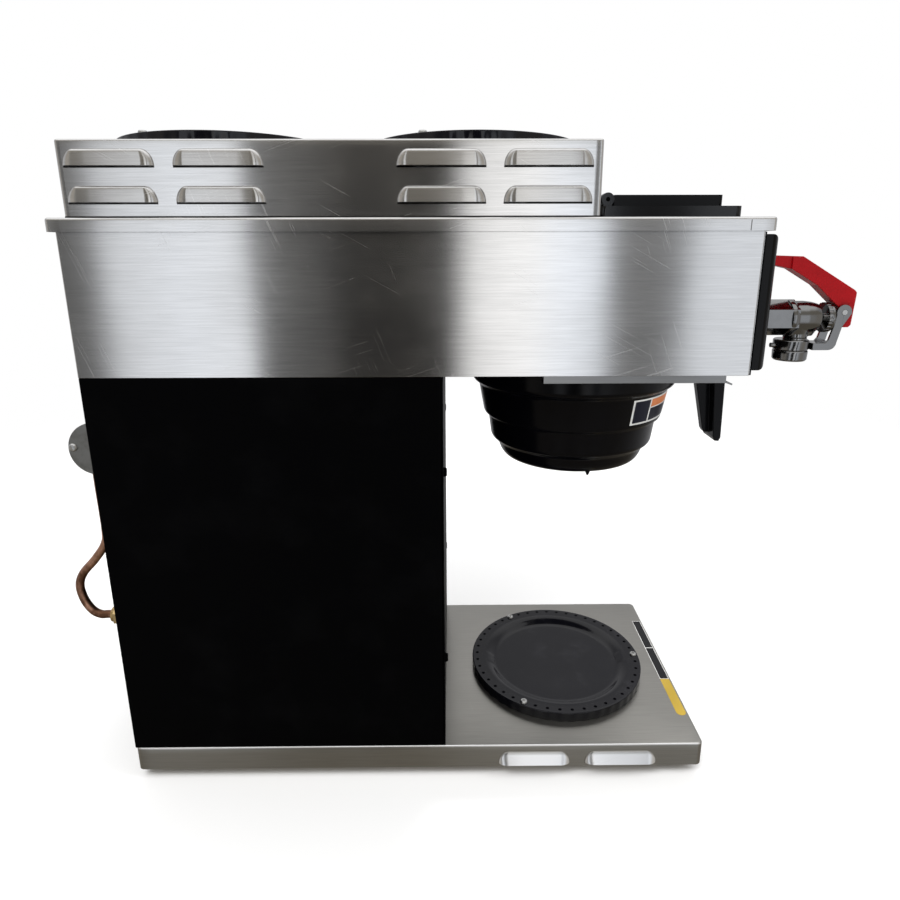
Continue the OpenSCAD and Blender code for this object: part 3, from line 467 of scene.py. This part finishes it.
def rounded(points, radius, steps=4):
    """An open outline with its corners cut to arcs. A corner's third value is its own radius."""
    made = [points[0][:2]]
    for before, corner, after in zip(points, points[1:], points[2:]):
        own = corner[2] if len(corner) > 2 else radius
        c, a, b = Vector(corner[:2]), Vector(before[:2]), Vector(after[:2])
        into, out = (a - c), (b - c)
        reach = min(own, into.length * 0.45, out.length * 0.45)
        if reach <= 0:
            made.append(tuple(c))
            continue
        p, q = c + into.normalized() * reach, c + out.normalized() * reach
        for i in range(steps + 1):
            u = i / steps
            made.append(tuple(p * (1 - u) ** 2 + c * 2 * u * (1 - u) + q * u * u))
    return made + [points[-1][:2]]


def closed_rounded(points, radius, steps=4):
    """A closed outline with every corner cut to an arc."""
    looped = [points[-1], *points, points[0]]
    return rounded(looped, radius, steps)[1:-1]


def stations(first, last, coarse, close_spans=(), fine=1):
    """Values from first to last, close together inside the spans and far apart elsewhere."""
    marks = sorted({first, last, *[v for span in close_spans for v in span if first < v < last]})
    values = []
    for low, high in zip(marks, marks[1:]):
        middle = (low + high) / 2
        step = fine if any(s[0] <= middle <= s[1] for s in close_spans) else coarse
        count = max(1, round((high - low) / step))
        values += [low + (high - low) * i / count for i in range(count)]
    return values + [last]


def inside(x, y, loop):
    """Whether a point is inside a closed outline."""
    hit = False
    for (ax, ay), (bx, by) in zip(loop, loop[1:] + loop[:1]):
        if (ay > y) != (by > y) and x < ax + (bx - ax) * (y - ay) / (by - ay):
            hit = not hit
    return hit


def circle(radius, steps=48, x=0.0, y=0.0):
    """The outline of a circle."""
    return polar(x, y, radius, 0, 360, steps)[:-1]


class Shape:
    """The points and faces of one piece, in the millimetres that at() takes."""

    def __init__(self):
        self.points = []
        self.faces = []

    def rows(self, rows, closed=True, skip=None):
        """Quads between rows of equally many points. skip(row, column) leaves a quad out."""
        start, count = len(self.points), len(rows[0])
        for row in rows:
            self.points += row
        for i in range(len(rows) - 1):
            for k in range(count if closed else count - 1):
                if skip and skip(i, k):
                    continue
                a, b = start + i * count + k, start + i * count + (k + 1) % count
                self.faces.append((a, b, b + count, a + count))

    def polygon(self, points):
        """One flat face."""
        self.faces.append(tuple(range(len(self.points), len(self.points) + len(points))))
        self.points += points

    def pierced(self, outline, holes, z, depth=0.0):
        """A level face around holes, which get walls and a floor when they have a depth."""
        flat, edges = [], []
        for loop in (outline, *holes):
            start = len(flat)
            flat += [Vector(p[:2]) for p in loop]
            edges += [(start + i, start + (i + 1) % len(loop)) for i in range(len(loop))]
        spots, _, triangles = delaunay_2d_cdt(flat, edges, [], 1, 1e-5)[:3]
        start = len(self.points)
        self.points += [(p.x, p.y, z) for p in spots]
        for face in triangles:
            x, y = (sum(spots[i][k] for i in face) / len(face) for k in (0, 1))
            if not any(inside(x, y, hole) for hole in holes):
                self.faces.append(tuple(start + i for i in face))
        for hole in holes if depth else []:
            floor = [(x, y, z - depth) for x, y in hole]
            self.rows([floor, [(x, y, z) for x, y in hole]])
            self.polygon(floor)

    def add(self, other, move=lambda p: p):
        """Takes in another shape, with each point moved by a function."""
        start = len(self.points)
        self.points += [tuple(move(p)) for p in other.points]
        self.faces += [tuple(start + i for i in face) for face in other.faces]
        return self


def lathe(profile, steps=96, flute=None):
    """A profile of (radius, height) turned about Z. flute(radius, height, angle) may change a radius."""
    made = Shape()
    rows = []
    for radius, height in profile:
        row = []
        for k in range(steps):
            angle = 2 * math.pi * k / steps
            r = flute(radius, height, angle) if flute else radius
            row.append((r * math.cos(angle), r * math.sin(angle), height))
        rows.append(row)
    made.rows(rows)
    return made


def slab(outline, low, high):
    """An outline in X and Z, given thickness along Y."""
    made = Shape()
    near = [(x, low, z) for x, z in outline]
    far = [(x, high, z) for x, z in outline]
    made.polygon(near)
    made.polygon(far[::-1])
    made.rows([near, far])
    return made


def moved(x, y, z):
    """Moves a shape."""
    return lambda p: (p[0] + x, p[1] + y, p[2] + z)


def turned(angle):
    """Turns a shape about Z by an angle in radians."""
    c, s = math.cos(angle), math.sin(angle)
    return lambda p: (p[0] * c - p[1] * s, p[0] * s + p[1] * c, p[2])


def along_x(x, y, z):
    """Turns a shape made about Z so that it stands along +X, and moves it."""
    return lambda p: (x + p[2], y + p[1], z - p[0])


def link(name, mesh):
    """A new object that shows a mesh."""
    made = bpy.data.objects.new(name, mesh)
    bpy.context.scene.collection.objects.link(made)
    return made


def settle(obj, angle=35):
    """Applies the modifiers and shades the result smooth, with edges sharper than the angle kept."""
    graph = bpy.context.evaluated_depsgraph_get()
    mesh = bpy.data.meshes.new_from_object(obj.evaluated_get(graph))
    obj.modifiers.clear()
    obj.data = mesh
    mesh.shade_smooth()
    mesh.set_sharp_from_angle(angle=math.radians(angle))
    return obj


# Points closer than this become one, and edges shorter than this go
MERGE, SLIVER = 0.004 * MM, 0.002 * MM


def make(name, shape, finish, body="root", stands_for=(), thick=0.0, angle=35, turn_out=True):
    """One piece from a shape: cleaned, given its thickness, and set riding on its body."""
    mesh = bpy.data.meshes.new(name)
    mesh.from_pydata([at(*p) for p in shape.points], [], shape.faces)
    work = bmesh.new()
    work.from_mesh(mesh)
    bmesh.ops.remove_doubles(work, verts=work.verts, dist=MERGE)
    bmesh.ops.dissolve_degenerate(work, edges=work.edges, dist=SLIVER)
    if turn_out:
        bmesh.ops.recalc_face_normals(work, faces=work.faces)
    work.to_mesh(mesh)
    work.free()
    mesh.materials.append(FINISH[finish])
    obj = link(name, mesh)
    if thick:
        wall = obj.modifiers.new("wall", "SOLIDIFY")
        wall.thickness, wall.offset = thick * MM, -1
    settle(obj, angle)
    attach(obj, body)
    if stands_for:
        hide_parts(*stands_for)
    return obj


# ---------- pressed stainless sheet ----------

SHEET = 1.2
# A louver's half width, the half width of its flat blade, its height and its depth
LOUVER_HALF, BLADE_HALF, LOUVER_H, LOUVER_D = 29.75, 21.5, 10.5, 4.0
# The share of its height where a blade's crown starts, and how much of its depth it loses on the way there
CROWN = 0.82
HOUSE_LEAN, BASE_LEAN = 0.30, 0.95
# The open slot under a blade, and the sheet around a louver that has its own rows
SLIT, MARGIN = 1.2, 0.4
ROW_STEP, TOUCH = 8, 1e-6
QUARTER = range(15, 91, 15)
HOUSE_LOUVERS = [(x, z) for x in (38.4, 110.2, 257.1, 328.3) for z in (451, 474)]
BASE_LOUVERS = [(331, 4), (403.2, 4)]


def pressed(x, z, lower, louvers, lean):
    """Where a wall's point goes sideways and outwards at a louver.

    lower marks the row under a louver's open edge, and lean is how much a blade falls back towards its top.
    """
    for cx, cz in louvers:
        share, across = (z - cz) / LOUVER_H, abs(x - cx)
        if share < 0 or share > 1 or across > LOUVER_HALF + TOUCH or (lower and share < TOUCH):
            continue
        crown = math.sqrt(max(0.0, 1 - max(0.0, (share - CROWN) / (1 - CROWN)) ** 2))
        crown *= 1 - lean * min(share, CROWN)
        if across <= BLADE_HALF:
            return x, LOUVER_D * crown
        turn = math.radians(90) * (across - BLADE_HALF) / (LOUVER_HALF - BLADE_HALF)
        reach = (LOUVER_HALF - BLADE_HALF) * math.sqrt(max(0.0, 1 - share * share))
        aside = math.copysign(BLADE_HALF + reach * math.sin(turn), x - cx)
        return cx + aside, LOUVER_D * crown * math.cos(turn)
    return x, 0.0


def louver_heights(low):
    """Heights of the rows across a louver, from just under its open edge to just over its top."""
    straight = [low + LOUVER_H * CROWN * i / 7 for i in range(8)]
    bent = [low + LOUVER_H * (CROWN + (1 - CROWN) * math.sin(math.radians(a))) for a in QUARTER]
    return [low - SLIT, *straight, *bent, low + LOUVER_H + MARGIN]


def tray_loop(x0, x1, half, corner, close_spans):
    """Plan outline of a tray, as (x, y, outward x, outward y), counter-clockwise from above."""
    xs = stations(x0 + corner, x1 - corner, ROW_STEP, close_spans, 0.8)
    ys = stations(-half + corner, half - corner, 3 * ROW_STEP)
    loop = [(x, -half, 0, -1) for x in xs[:-1]]
    corners = [(x1, -half, -90), (x1, half, 0), (x0, half, 90), (x0, -half, 180)]
    walls = [
        [(x1, y, 1, 0) for y in ys[:-1]],
        [(x, half, 0, 1) for x in xs[:0:-1]],
        [(x0, y, -1, 0) for y in ys[:0:-1]],
        [],
    ]
    for (cx, cy, start), wall in zip(corners, walls):
        mx, my = cx - math.copysign(corner, cx - (x0 + x1) / 2), cy - math.copysign(corner, cy)
        for a in range(0, 90, 15):
            nx, ny = math.cos(math.radians(start + a)), math.sin(math.radians(start + a))
            loop.append((mx + corner * nx, my + corner * ny, nx, ny))
        loop += wall
    return loop


def tray_heights(low_end, high_end, bottoms):
    """Heights of the rows up a tray's wall, with a louver's own rows over each of the bottoms."""
    marks = sorted([low_end, high_end, *[z for bottom in bottoms for z in louver_heights(bottom)]])
    heights = []
    for low, high in zip(marks, marks[1:]):
        parts = max(1, round((high - low) / ROW_STEP))
        heights += [low + (high - low) * i / parts for i in range(parts)]
    return heights + [marks[-1]]


def tray(box, corner, bend, holes, louvers=(), lean=0.0):
    """An open-bottomed sheet tray with round corners and bends, holes in its deck, and pressed louvers.

    box is its rear, front, half width, bottom and top.
    """
    x0, x1, half, z0, z1 = box
    spans = []
    for cx, _ in louvers:
        for side in (-1, 1):
            stops = [cx + side * reach for reach in (BLADE_HALF, LOUVER_HALF, LOUVER_HALF + MARGIN)]
            spans += [tuple(sorted(pair)) for pair in zip(stops, stops[1:])]
    loop = tray_loop(x0, x1, half, corner, spans)
    bottoms = {cz for _, cz in louvers}
    rows, lower_rows = [], set()
    for z in tray_heights(z0, z1 - bend, bottoms):
        for lower in ((True, False) if z in bottoms else (False,)):
            if lower:
                lower_rows.add(len(rows))
            row = []
            for x, y, nx, ny in loop:
                side, rise = pressed(x, z, lower, louvers, lean) if abs(ny) == 1 else (x, 0.0)
                row.append((side, y + ny * rise, z))
            rows.append(row)
    for a in QUARTER:
        inset, up = bend * (1 - math.cos(math.radians(a))), bend * math.sin(math.radians(a))
        rows.append([(x - nx * inset, y - ny * inset, z1 - bend + up) for x, y, nx, ny in loop])
    blade = [
        abs(ny) == 1 and any(abs(x - cx) <= LOUVER_HALF + TOUCH for cx, _ in louvers) for x, _, _, ny in loop
    ]
    # A louver is open between its blade and the wall, and the sheet under it is cut away
    slit = [here and after for here, after in zip(blade, blade[1:] + blade[:1])]
    made = Shape()
    made.rows(rows, skip=lambda i, k: i in lower_rows or (i + 1 in lower_rows and slit[k]))
    made.pierced(rows[-1], holes, z1)
    return made


base = extent("base_deck")
house = extent("upper_warmer_housing")
lower_warmer = extent("lower_warmer_plate")
rear_warmer = extent("upper_rear_warmer_plate")
front_warmer = extent("upper_front_warmer_plate")
LOWER_X, REAR_WARMER_X, FRONT_WARMER_X = [
    (warmer.x0 + warmer.x1) / 2 for warmer in (lower_warmer, rear_warmer, front_warmer)
]
DECK_HOLE_R, CABLE_HOLE_R = 62, 20
UPPER_XS = (REAR_WARMER_X, FRONT_WARMER_X)
HOUSE_HALF, SEAM = 102, 1.3
# Radii of each tray's upright corners, and of the bend around its top
BASE_RADII, HOUSE_RADII, COVER_RADII = (5, 1.6), (2.2, 1.4), (2.5, 1.8)


def sheet_piece(name, finish, node, shape):
    """A tray's outer skin given the sheet's thickness inwards, standing for a CAD node."""
    make(name, shape, finish, stands_for=[node], thick=SHEET, turn_out=False)


base_box = (base.x0, base.x1, BASE_HALF, base.z0, base.z1)
base_holes = [circle(DECK_HOLE_R, 72, LOWER_X)]
base_shape = tray(base_box, *BASE_RADII, base_holes, BASE_LOUVERS, BASE_LEAN)
sheet_piece("base_tray", "deck_stainless", "base_deck", base_shape)

house_box = (house.x0, house.x1, HOUSE_HALF, house.z0 + SEAM, house.z1)
house_holes = [circle(DECK_HOLE_R, 72, x) for x in UPPER_XS]
house_shape = tray(house_box, *HOUSE_RADII, house_holes, HOUSE_LOUVERS, HOUSE_LEAN)
sheet_piece("upper_housing", "stainless", "upper_warmer_housing", house_shape)

cover = extent("hood_top_cover")
BOWL_X0, BOWL_X1, BOWL_Y = 376, 450, 73
bowl_hole = [(BOWL_X0, -BOWL_Y), (BOWL_X1, -BOWL_Y), (BOWL_X1, BOWL_Y), (BOWL_X0, BOWL_Y)]
cover_box = (cover.x0, cover.x1, cover.y1, cover.z0, cover.z1)
cover_holes = [*[circle(CABLE_HOLE_R, 32, x) for x in UPPER_XS], bowl_hole]
sheet_piece("hood_cover", "stainless", "hood_top_cover", tray(cover_box, *COVER_RADII, cover_holes))

# Thin marks where the cover's side lips meet its front one
JOINT_X, JOINT_W = 462, 0.6
JOINT_LOW, JOINT_HIGH = cover.z0 + 0.2, cover.z1 - 1.9
JOINT_IN, JOINT_OUT = cover.y1 - 0.2, cover.y1 + 0.03
joint_ends = (JOINT_X, JOINT_X + JOINT_W)
joint = [*[(x, JOINT_LOW) for x in joint_ends], *[(x, JOINT_HIGH) for x in reversed(joint_ends)]]
joints = Shape().add(slab(joint, -JOINT_OUT, -JOINT_IN)).add(slab(joint, JOINT_IN, JOINT_OUT))
make("cover_joint_marks", joints, "grey_steel")

# A thin black strip in the seam under the upper housing: painted shade, standing in for the shadow in that
# gap
SEAM_SHADE_BACK, SEAM_SHADE_W = 0.4, 2
rings = []
for inset, rise in ((0, 0), (0, SEAM), (SEAM_SHADE_W, SEAM), (SEAM_SHADE_W, 0), (0, 0)):
    back = SEAM_SHADE_BACK + inset
    rear, front, aside = house.x0 + back, house.x1 - back, HOUSE_HALF - back
    plan = ((rear, -aside), (front, -aside), (front, aside), (rear, aside))
    rings.append([(x, y, house.z0 + rise) for x, y in plan])
seam_shade = Shape()
seam_shade.rows(rings)
make("housing_seam_shade", seam_shade, "black_rubber")

# ---------- warmer plates ----------

WARMER_R = (lower_warmer.x1 - lower_warmer.x0) / 2
PLATE_H = lower_warmer.z1 - base.z1
# The flat rim, and the cells around it: holes, but for three that take a screw
RIM_IN, RIM_OUT, RIM_R = 73.6, 79.7, 77.3
RIM_HOLE_R, RIM_HOLE_DEPTH = 1.5, 5
RIM_CELLS, PLATE_SCREWS = 45, 3
RING_STEPS = RIM_CELLS * 8
# The skirt's flutes, and the pressed mark at each end of the dish's wall
FLUTE_DEPTH, FLUTE_FADE = 0.3, 2
MARK_IN, MARK_OUT, MARK_DEPTH, MARK_HALF_ANGLE = 60.5, 68, 0.9, 7
DISH = [(0, 3.4), (40, 3.4), (59.8, 3.4, 3), (65.5, 7.2, 2), (69.5, PLATE_H, 3), (RIM_IN, PLATE_H)]
SKIRT = [
    (RIM_OUT, PLATE_H), (WARMER_R, PLATE_H, 2.6), (WARMER_R, 0.7, 0.3), (81.5, 0, 0.3), (80.5, 0),
    (80.5, 5.4), (78, 7), (70, 7), (66, 5.4), (60, 1.8), (0, 1.8),
]


def plate_shape(radius, height, angle):
    """Flutes around a warmer's skirt, and a pressed mark at each end of its dish's wall."""
    if radius > RIM_OUT:
        fade = min(1.0, max(0.0, (PLATE_H - 0.6 - height) / FLUTE_FADE))
        return radius - FLUTE_DEPTH * fade * (1 - math.cos(RIM_CELLS * angle))
    if MARK_IN < radius < MARK_OUT:
        off = math.degrees(math.asin(abs(math.sin(angle)))) / MARK_HALF_ANGLE
        return radius - MARK_DEPTH * max(0.0, 1 - off ** 4)
    return radius


def warmer(name, node, x, z):
    """An enamelled warmer plate: dished disc, rim with a ring of holes, and fluted skirt."""
    shape = Shape()
    for profile in (DISH, SKIRT):
        shape.add(lathe(rounded(profile, 0, 5), RING_STEPS, plate_shape))
    holes = []
    for i in range(RIM_CELLS):
        if i % (RIM_CELLS // PLATE_SCREWS):
            a = 2 * math.pi * i / RIM_CELLS
            holes.append(circle(RIM_HOLE_R, 14, RIM_R * math.cos(a), RIM_R * math.sin(a)))
    shape.pierced(circle(RIM_OUT, RING_STEPS), [circle(RIM_IN, RING_STEPS), *holes], PLATE_H)
    for hole in holes:
        low, high = [[(px, py, level) for px, py in hole] for level in (PLATE_H - RIM_HOLE_DEPTH, PLATE_H)]
        shape.rows([low, high])
        shape.polygon(low)
    placed = Shape().add(shape, moved(x, 0, z))
    make(name, placed, "black_enamel", stands_for=[node], angle=40)


WARMERS = {
    "lower_warmer": ("lower_warmer_plate", LOWER_X, base.z1),
    "rear_warmer": ("upper_rear_warmer_plate", REAR_WARMER_X, house.z1),
    "front_warmer": ("upper_front_warmer_plate", FRONT_WARMER_X, house.z1),
}
for name, (node, x, z) in WARMERS.items():
    warmer(name, node, x, z)

# ---------- screws ----------


def cross_outline(half, wide):
    """The outline of a cross recess, from its half length and half width."""
    corners = [(wide, wide), (wide, half), (-wide, half), (-wide, wide), (-half, wide), (-half, -wide)]
    return corners + [(-x, -y) for x, y in corners]


def screw(radius, height, shank_r, shank_l):
    """A pan head with a cross recess, on a plain shank, standing on Z = 0."""
    made = Shape()
    flat = 0.72 * radius
    side = [
        (0, -shank_l), (shank_r, -shank_l), (shank_r, 0), (radius, 0), (radius, 0.3 * height),
        (0.94 * radius, 0.62 * height), (0.84 * radius, 0.88 * height), (flat, height),
    ]
    made.add(lathe(side, 48))
    made.pierced(circle(flat), [cross_outline(0.56 * radius, 0.13 * radius)], height, 0.6 * height)
    return made


SHANK_R = 1.5
heads = Shape()
for _, x, z in WARMERS.values():
    for i in range(PLATE_SCREWS):
        a = 2 * math.pi * i / PLATE_SCREWS
        place = moved(x + RIM_R * math.cos(a), RIM_R * math.sin(a), z + PLATE_H)
        heads.add(screw(3.2, 1.9, SHANK_R, 14), place)
make("warmer_screw_heads", heads, "zinc_steel", stands_for=["warmer_screws"], angle=30)

# The heads at the near edge stand proud, and the ones at the far edge are almost flush
COVER_SCREW_Y, COVER_SCREW_ZS = 100, (99.9, 258.9)
NEAR_HEAD, FAR_HEAD = 2.5, 0.6
trunk = extent("trunk_front_cover")
heads = Shape()
for y, height in ((-COVER_SCREW_Y, NEAR_HEAD), (COVER_SCREW_Y, FAR_HEAD)):
    for z in COVER_SCREW_ZS:
        heads.add(screw(3.6, height, SHANK_R, 8), along_x(trunk.x1, y, z))
make("trunk_screw_heads", heads, "black_paint", stands_for=["trunk_screws"], angle=30)

# ---------- brew funnel ----------

funnel = extent("brew_funnel")
FUNNEL_X = (funnel.x0 + funnel.x1) / 2
# The second tier's wall, which takes the sticker: radius and height at its foot and its top
TIER_FOOT, TIER_TOP = (77, 284), (81.4, 308.2)
FUNNEL_OUT = [
    (2.5, 241.4), (2.5, 234), (5, 234), (6, 238.4), (12, 239), (53, 241.6, 6), (58.5, 243.8, 5),
    (61.5, 248, 5), (64.4, 256, 2), (69.2, 259.4, 2.2), (70.2, 261.6, 1.5), (72.7, 279.9, 1.6),
    (76.2, 281.8, 1.8), (*TIER_FOOT, 1.4), (*TIER_TOP, 2), (86, 311.4, 2.4), (87.2, 313.8, 1.5),
    (88, 328.6, 0.8), (99, 328.6, 0.7), (99, 331.4, 0.7), (85, 331.4, 0.6),
]
FUNNEL_IN = [
    (84.8, 315.9, 2), (83.9, 314.2, 2), (79, 311, 2), (74.6, 286, 2), (74, 284.4, 2), (70.5, 282.7, 2),
    (67.8, 263.7, 2), (67, 262.2, 2), (62, 258.4, 2), (59.1, 249.9, 4), (56.1, 245.9, 4), (50.6, 244, 4),
    (12, 241.4), (2.5, 241.4),
]
RIB = [(62.6, 261), (69, 261), (69.6, 278), (66.5, 278)]
RIB_COUNT, RIB_HALF = 24, 0.8
FOOT = [(0, 239.8), (0.7, 239.8, 0.4), (1.8, 242.4), (1.8, 243.5)]
FOOT_R, FOOT_TURNS = 56, (-84, 36, 156)

cone = lathe(rounded(FUNNEL_OUT + FUNNEL_IN, 0, 4), 160)
rib = slab(closed_rounded(RIB, 0.8, 2), -RIB_HALF, RIB_HALF)
for i in range(RIB_COUNT):
    cone.add(rib, turned(2 * math.pi * (i + 0.5) / RIB_COUNT))
foot = lathe(rounded(FOOT, 0, 3), 24)
for turn in FOOT_TURNS:
    a = math.radians(turn)
    cone.add(foot, moved(FOOT_R * math.cos(a), FOOT_R * math.sin(a), 0))
make(
    "funnel_cone", Shape().add(cone, moved(FUNNEL_X, 0, 0)), "funnel_plastic", body="funnel",
    stands_for=["brew_funnel"], angle=40,
)


def on_tier(height):
    """Outer radius of the funnel's second tier at a height."""
    share = (height - TIER_FOOT[1]) / (TIER_TOP[1] - TIER_FOOT[1])
    return TIER_FOOT[0] + (TIER_TOP[0] - TIER_FOOT[0]) * share


# A sticker's thickness, and how far its edge and what is printed on it stand off
STICKER_THICK, UNDER, OVER = 0.08, 0.10, 0.20


def sticker(name, finish, first, last, low, high, lift):
    """A patch of the funnel's sticker, between two angles and two heights."""
    steps = max(2, round((last - first) / 2))
    rows = []
    for height in (low, (low + high) / 2, high):
        radius = on_tier(height) + lift
        rows.append([(FUNNEL_X + x, y, height) for x, y in polar(0, 0, radius, first, last, steps)])
    shape = Shape()
    shape.rows(rows, closed=False)
    make(name, shape, finish, body="funnel", thick=STICKER_THICK, turn_out=False)


sticker("funnel_sticker_edge", "sticker_white", -64, -8, 285.5, 306.5, UNDER)
sticker("funnel_sticker_square", "sticker_blue", -62.6, -50, 287, 305, OVER)
sticker("funnel_sticker_strip", "sticker_orange", -48.6, -9, 298.5, 305, OVER)
sticker("funnel_sticker_field", "sticker_blue", -48.6, -9, 287, 297.5, OVER)

# ---------- stickers on the base ----------

STRIP_X0, STRIP_X1 = 461.8, 470.4
PRINT_IN, PRINT_OVER = 0.6, 0.18


def base_sticker(name, finish, first, last, lift, inset=0.0, round_end=False):
    """A flat patch along the base's front edge between two Y values, with one round end if asked."""
    x0, x1 = STRIP_X0 + inset, STRIP_X1 - inset
    if round_end:
        half = (x1 - x0) / 2
        outline = [(x1, last), (x0, last)] + polar((x0 + x1) / 2, first + half, half, 180, 360, 16)
    else:
        outline = [(x0, first), (x1, first), (x1, last), (x0, last)]
    shape = Shape()
    shape.polygon([(x, y, base.z1 + lift) for x, y in outline])
    make(name, shape, finish, thick=STICKER_THICK, turn_out=False)


base_sticker("base_sticker_edge", "sticker_white", -26, 71, UNDER)
base_sticker("base_sticker_far", "sticker_black", 23.4, 70.4, PRINT_OVER, PRINT_IN)
base_sticker("base_sticker_middle", "sticker_black", -25.4, 22.4, PRINT_OVER, PRINT_IN)
base_sticker("base_sticker_near", "sticker_yellow", -75, -26, UNDER, round_end=True)

# ---------- copper tube ----------


def curve(points, steps=8):
    """A smooth curve through points."""
    made = []
    ends = [points[0], *points, points[-1]]
    for a, b, c, d in zip(ends, ends[1:], ends[2:], ends[3:]):
        a, b, c, d = (Vector(v) for v in (a, b, c, d))
        for i in range(steps):
            u = i / steps
            square, cube = 2 * a - 5 * b + 4 * c - d, 3 * b - a - 3 * c + d
            made.append(0.5 * (2 * b + (c - a) * u + square * u * u + cube * u ** 3))
    return made + [Vector(points[-1])]


def tube(path, radius, sides=28):
    """A round rod along a path."""
    shape, rows = Shape(), []
    side = Vector((0, 1, 0))
    for i, spot in enumerate(path):
        ahead = (path[min(i + 1, len(path) - 1)] - path[max(i - 1, 0)]).normalized()
        side = (side - ahead * side.dot(ahead)).normalized()
        other = ahead.cross(side)
        rows.append([
            tuple(spot + radius * (math.cos(a) * side + math.sin(a) * other))
            for a in (2 * math.pi * k / sides for k in range(sides))
        ])
    shape.rows(rows)
    shape.polygon(rows[0])
    shape.polygon(rows[-1])
    return shape


TUBE_Y, TUBE_R, FEED_Z = -88, 3.2, 134
# The tube's route in X and Z, from the valve down to the trunk's fitting
LOOP = [
    (-8, 262), (-8, 240), (-8, 208), (-10.5, 196), (-20, 183), (-31, 171), (-35.4, 160), (-33.5, 147),
    (-28, 137.5), (-22, FEED_Z), (-17, FEED_Z), (-12.2, FEED_Z),
]
path = curve([(x, TUBE_Y, z) for x, z in LOOP])
make("copper_loop", tube(path, TUBE_R), "copper_tube", stands_for=["inlet_tube"])

# ---------- faucet casting ----------

faucet = extent("faucet_body")
FAUCET_Y, FAUCET_Z, SPOUT_X = -55, 368.5, 532
BARREL = [
    (0, -1.2), (13.6, -1.2, 0.6), (13.8, 2.2, 0.8), (12.7, 3.6, 1), (12.7, 12), (12, 18, 2),
    (10.6, 23, 0.8), (0, 23),
]
SPOUT = [(0, 0), (8.6, 0), (8.8, 3), (10, 7), (11.4, 12), (11.4, 15.5), (0, 15.5)]
# The neck that joins the spout to the barrel, leaning forward as it rises
NECK = [(0, 0), (5.5, 0), (8.5, 12), (0, 12)]
NECK_X, NECK_Z, NECK_LEAN = SPOUT_X + 7, 354.6, 0.35

casting = Shape().add(lathe(rounded(BARREL, 0.4, 3), 64), along_x(faucet.x0, FAUCET_Y, FAUCET_Z))
casting.add(lathe(SPOUT, 64), moved(SPOUT_X, FAUCET_Y, faucet.z0))
neck = Shape().add(lathe(NECK, 48), lambda p: (p[0] + NECK_LEAN * p[2], p[1], p[2]))
casting.add(neck, moved(NECK_X, FAUCET_Y, NECK_Z))


def cast(name, shape, finish, voxel, rounds, stands_for):
    """Overlapping closed solids melted into one casting with soft inner corners."""
    obj = make(name, shape, finish, stands_for=stands_for)
    melt = obj.modifiers.new("melt", "REMESH")
    melt.mode, melt.voxel_size = "VOXEL", voxel * MM
    soft = obj.modifiers.new("soft", "SMOOTH")
    soft.factor, soft.iterations = 0.5, rounds
    settle(obj, 70)


cast("faucet_casting", casting, "chromed_brass", voxel=0.35, rounds=14, stands_for=["faucet_body"])

# ---------- CAD nodes ----------


def dress(obj, node, finish, bevel):
    """Gives a CAD node its finish, and softens its edges without moving it."""
    obj.data.materials.clear()
    obj.data.materials.append(FINISH[OWN_LOOK.get(node, finish)])
    weld = obj.modifiers.new("weld", "WELD")
    weld.merge_threshold = 0.001 * MM
    if bevel:
        edge = obj.modifiers.new("edge", "BEVEL")
        edge.width, edge.segments = bevel * MM, 2
        edge.limit_method, edge.angle_limit = "ANGLE", math.radians(30)
        edge.harden_normals = True


SLOTS = {s["node"]: s["material_slot"] for s in frame["record"]["subparts"]}
# Nodes that look otherwise than their slot's own finish
OWN_LOOK = {
    # The funnel rails take the darker stainless: painted shade under the hood
    "funnel_rails": "rail_stainless_painted_shade", "lid_hinge_pin": "black_paint", "pour_in_basin": "glossy_plastic",
}
# How wide an edge's softening is, in millimetres
EDGE = 0.25
SOFTER = {
    "hood_shell": 0.9, "trunk_body": 0.8, "trunk_front_cover": 0.5, "front_panel": 0.5,
    "pour_in_basin": 1.0, "pour_in_lid": 0.9, "faucet_handle": 0.8, "faucet_yoke": 0.6, "funnel_handle": 0.7,
}
for node, obj in frame["nodes"].items():
    dress(obj, node, SLOTS[node], 0 if obj.hide_render else SOFTER.get(node, EDGE))
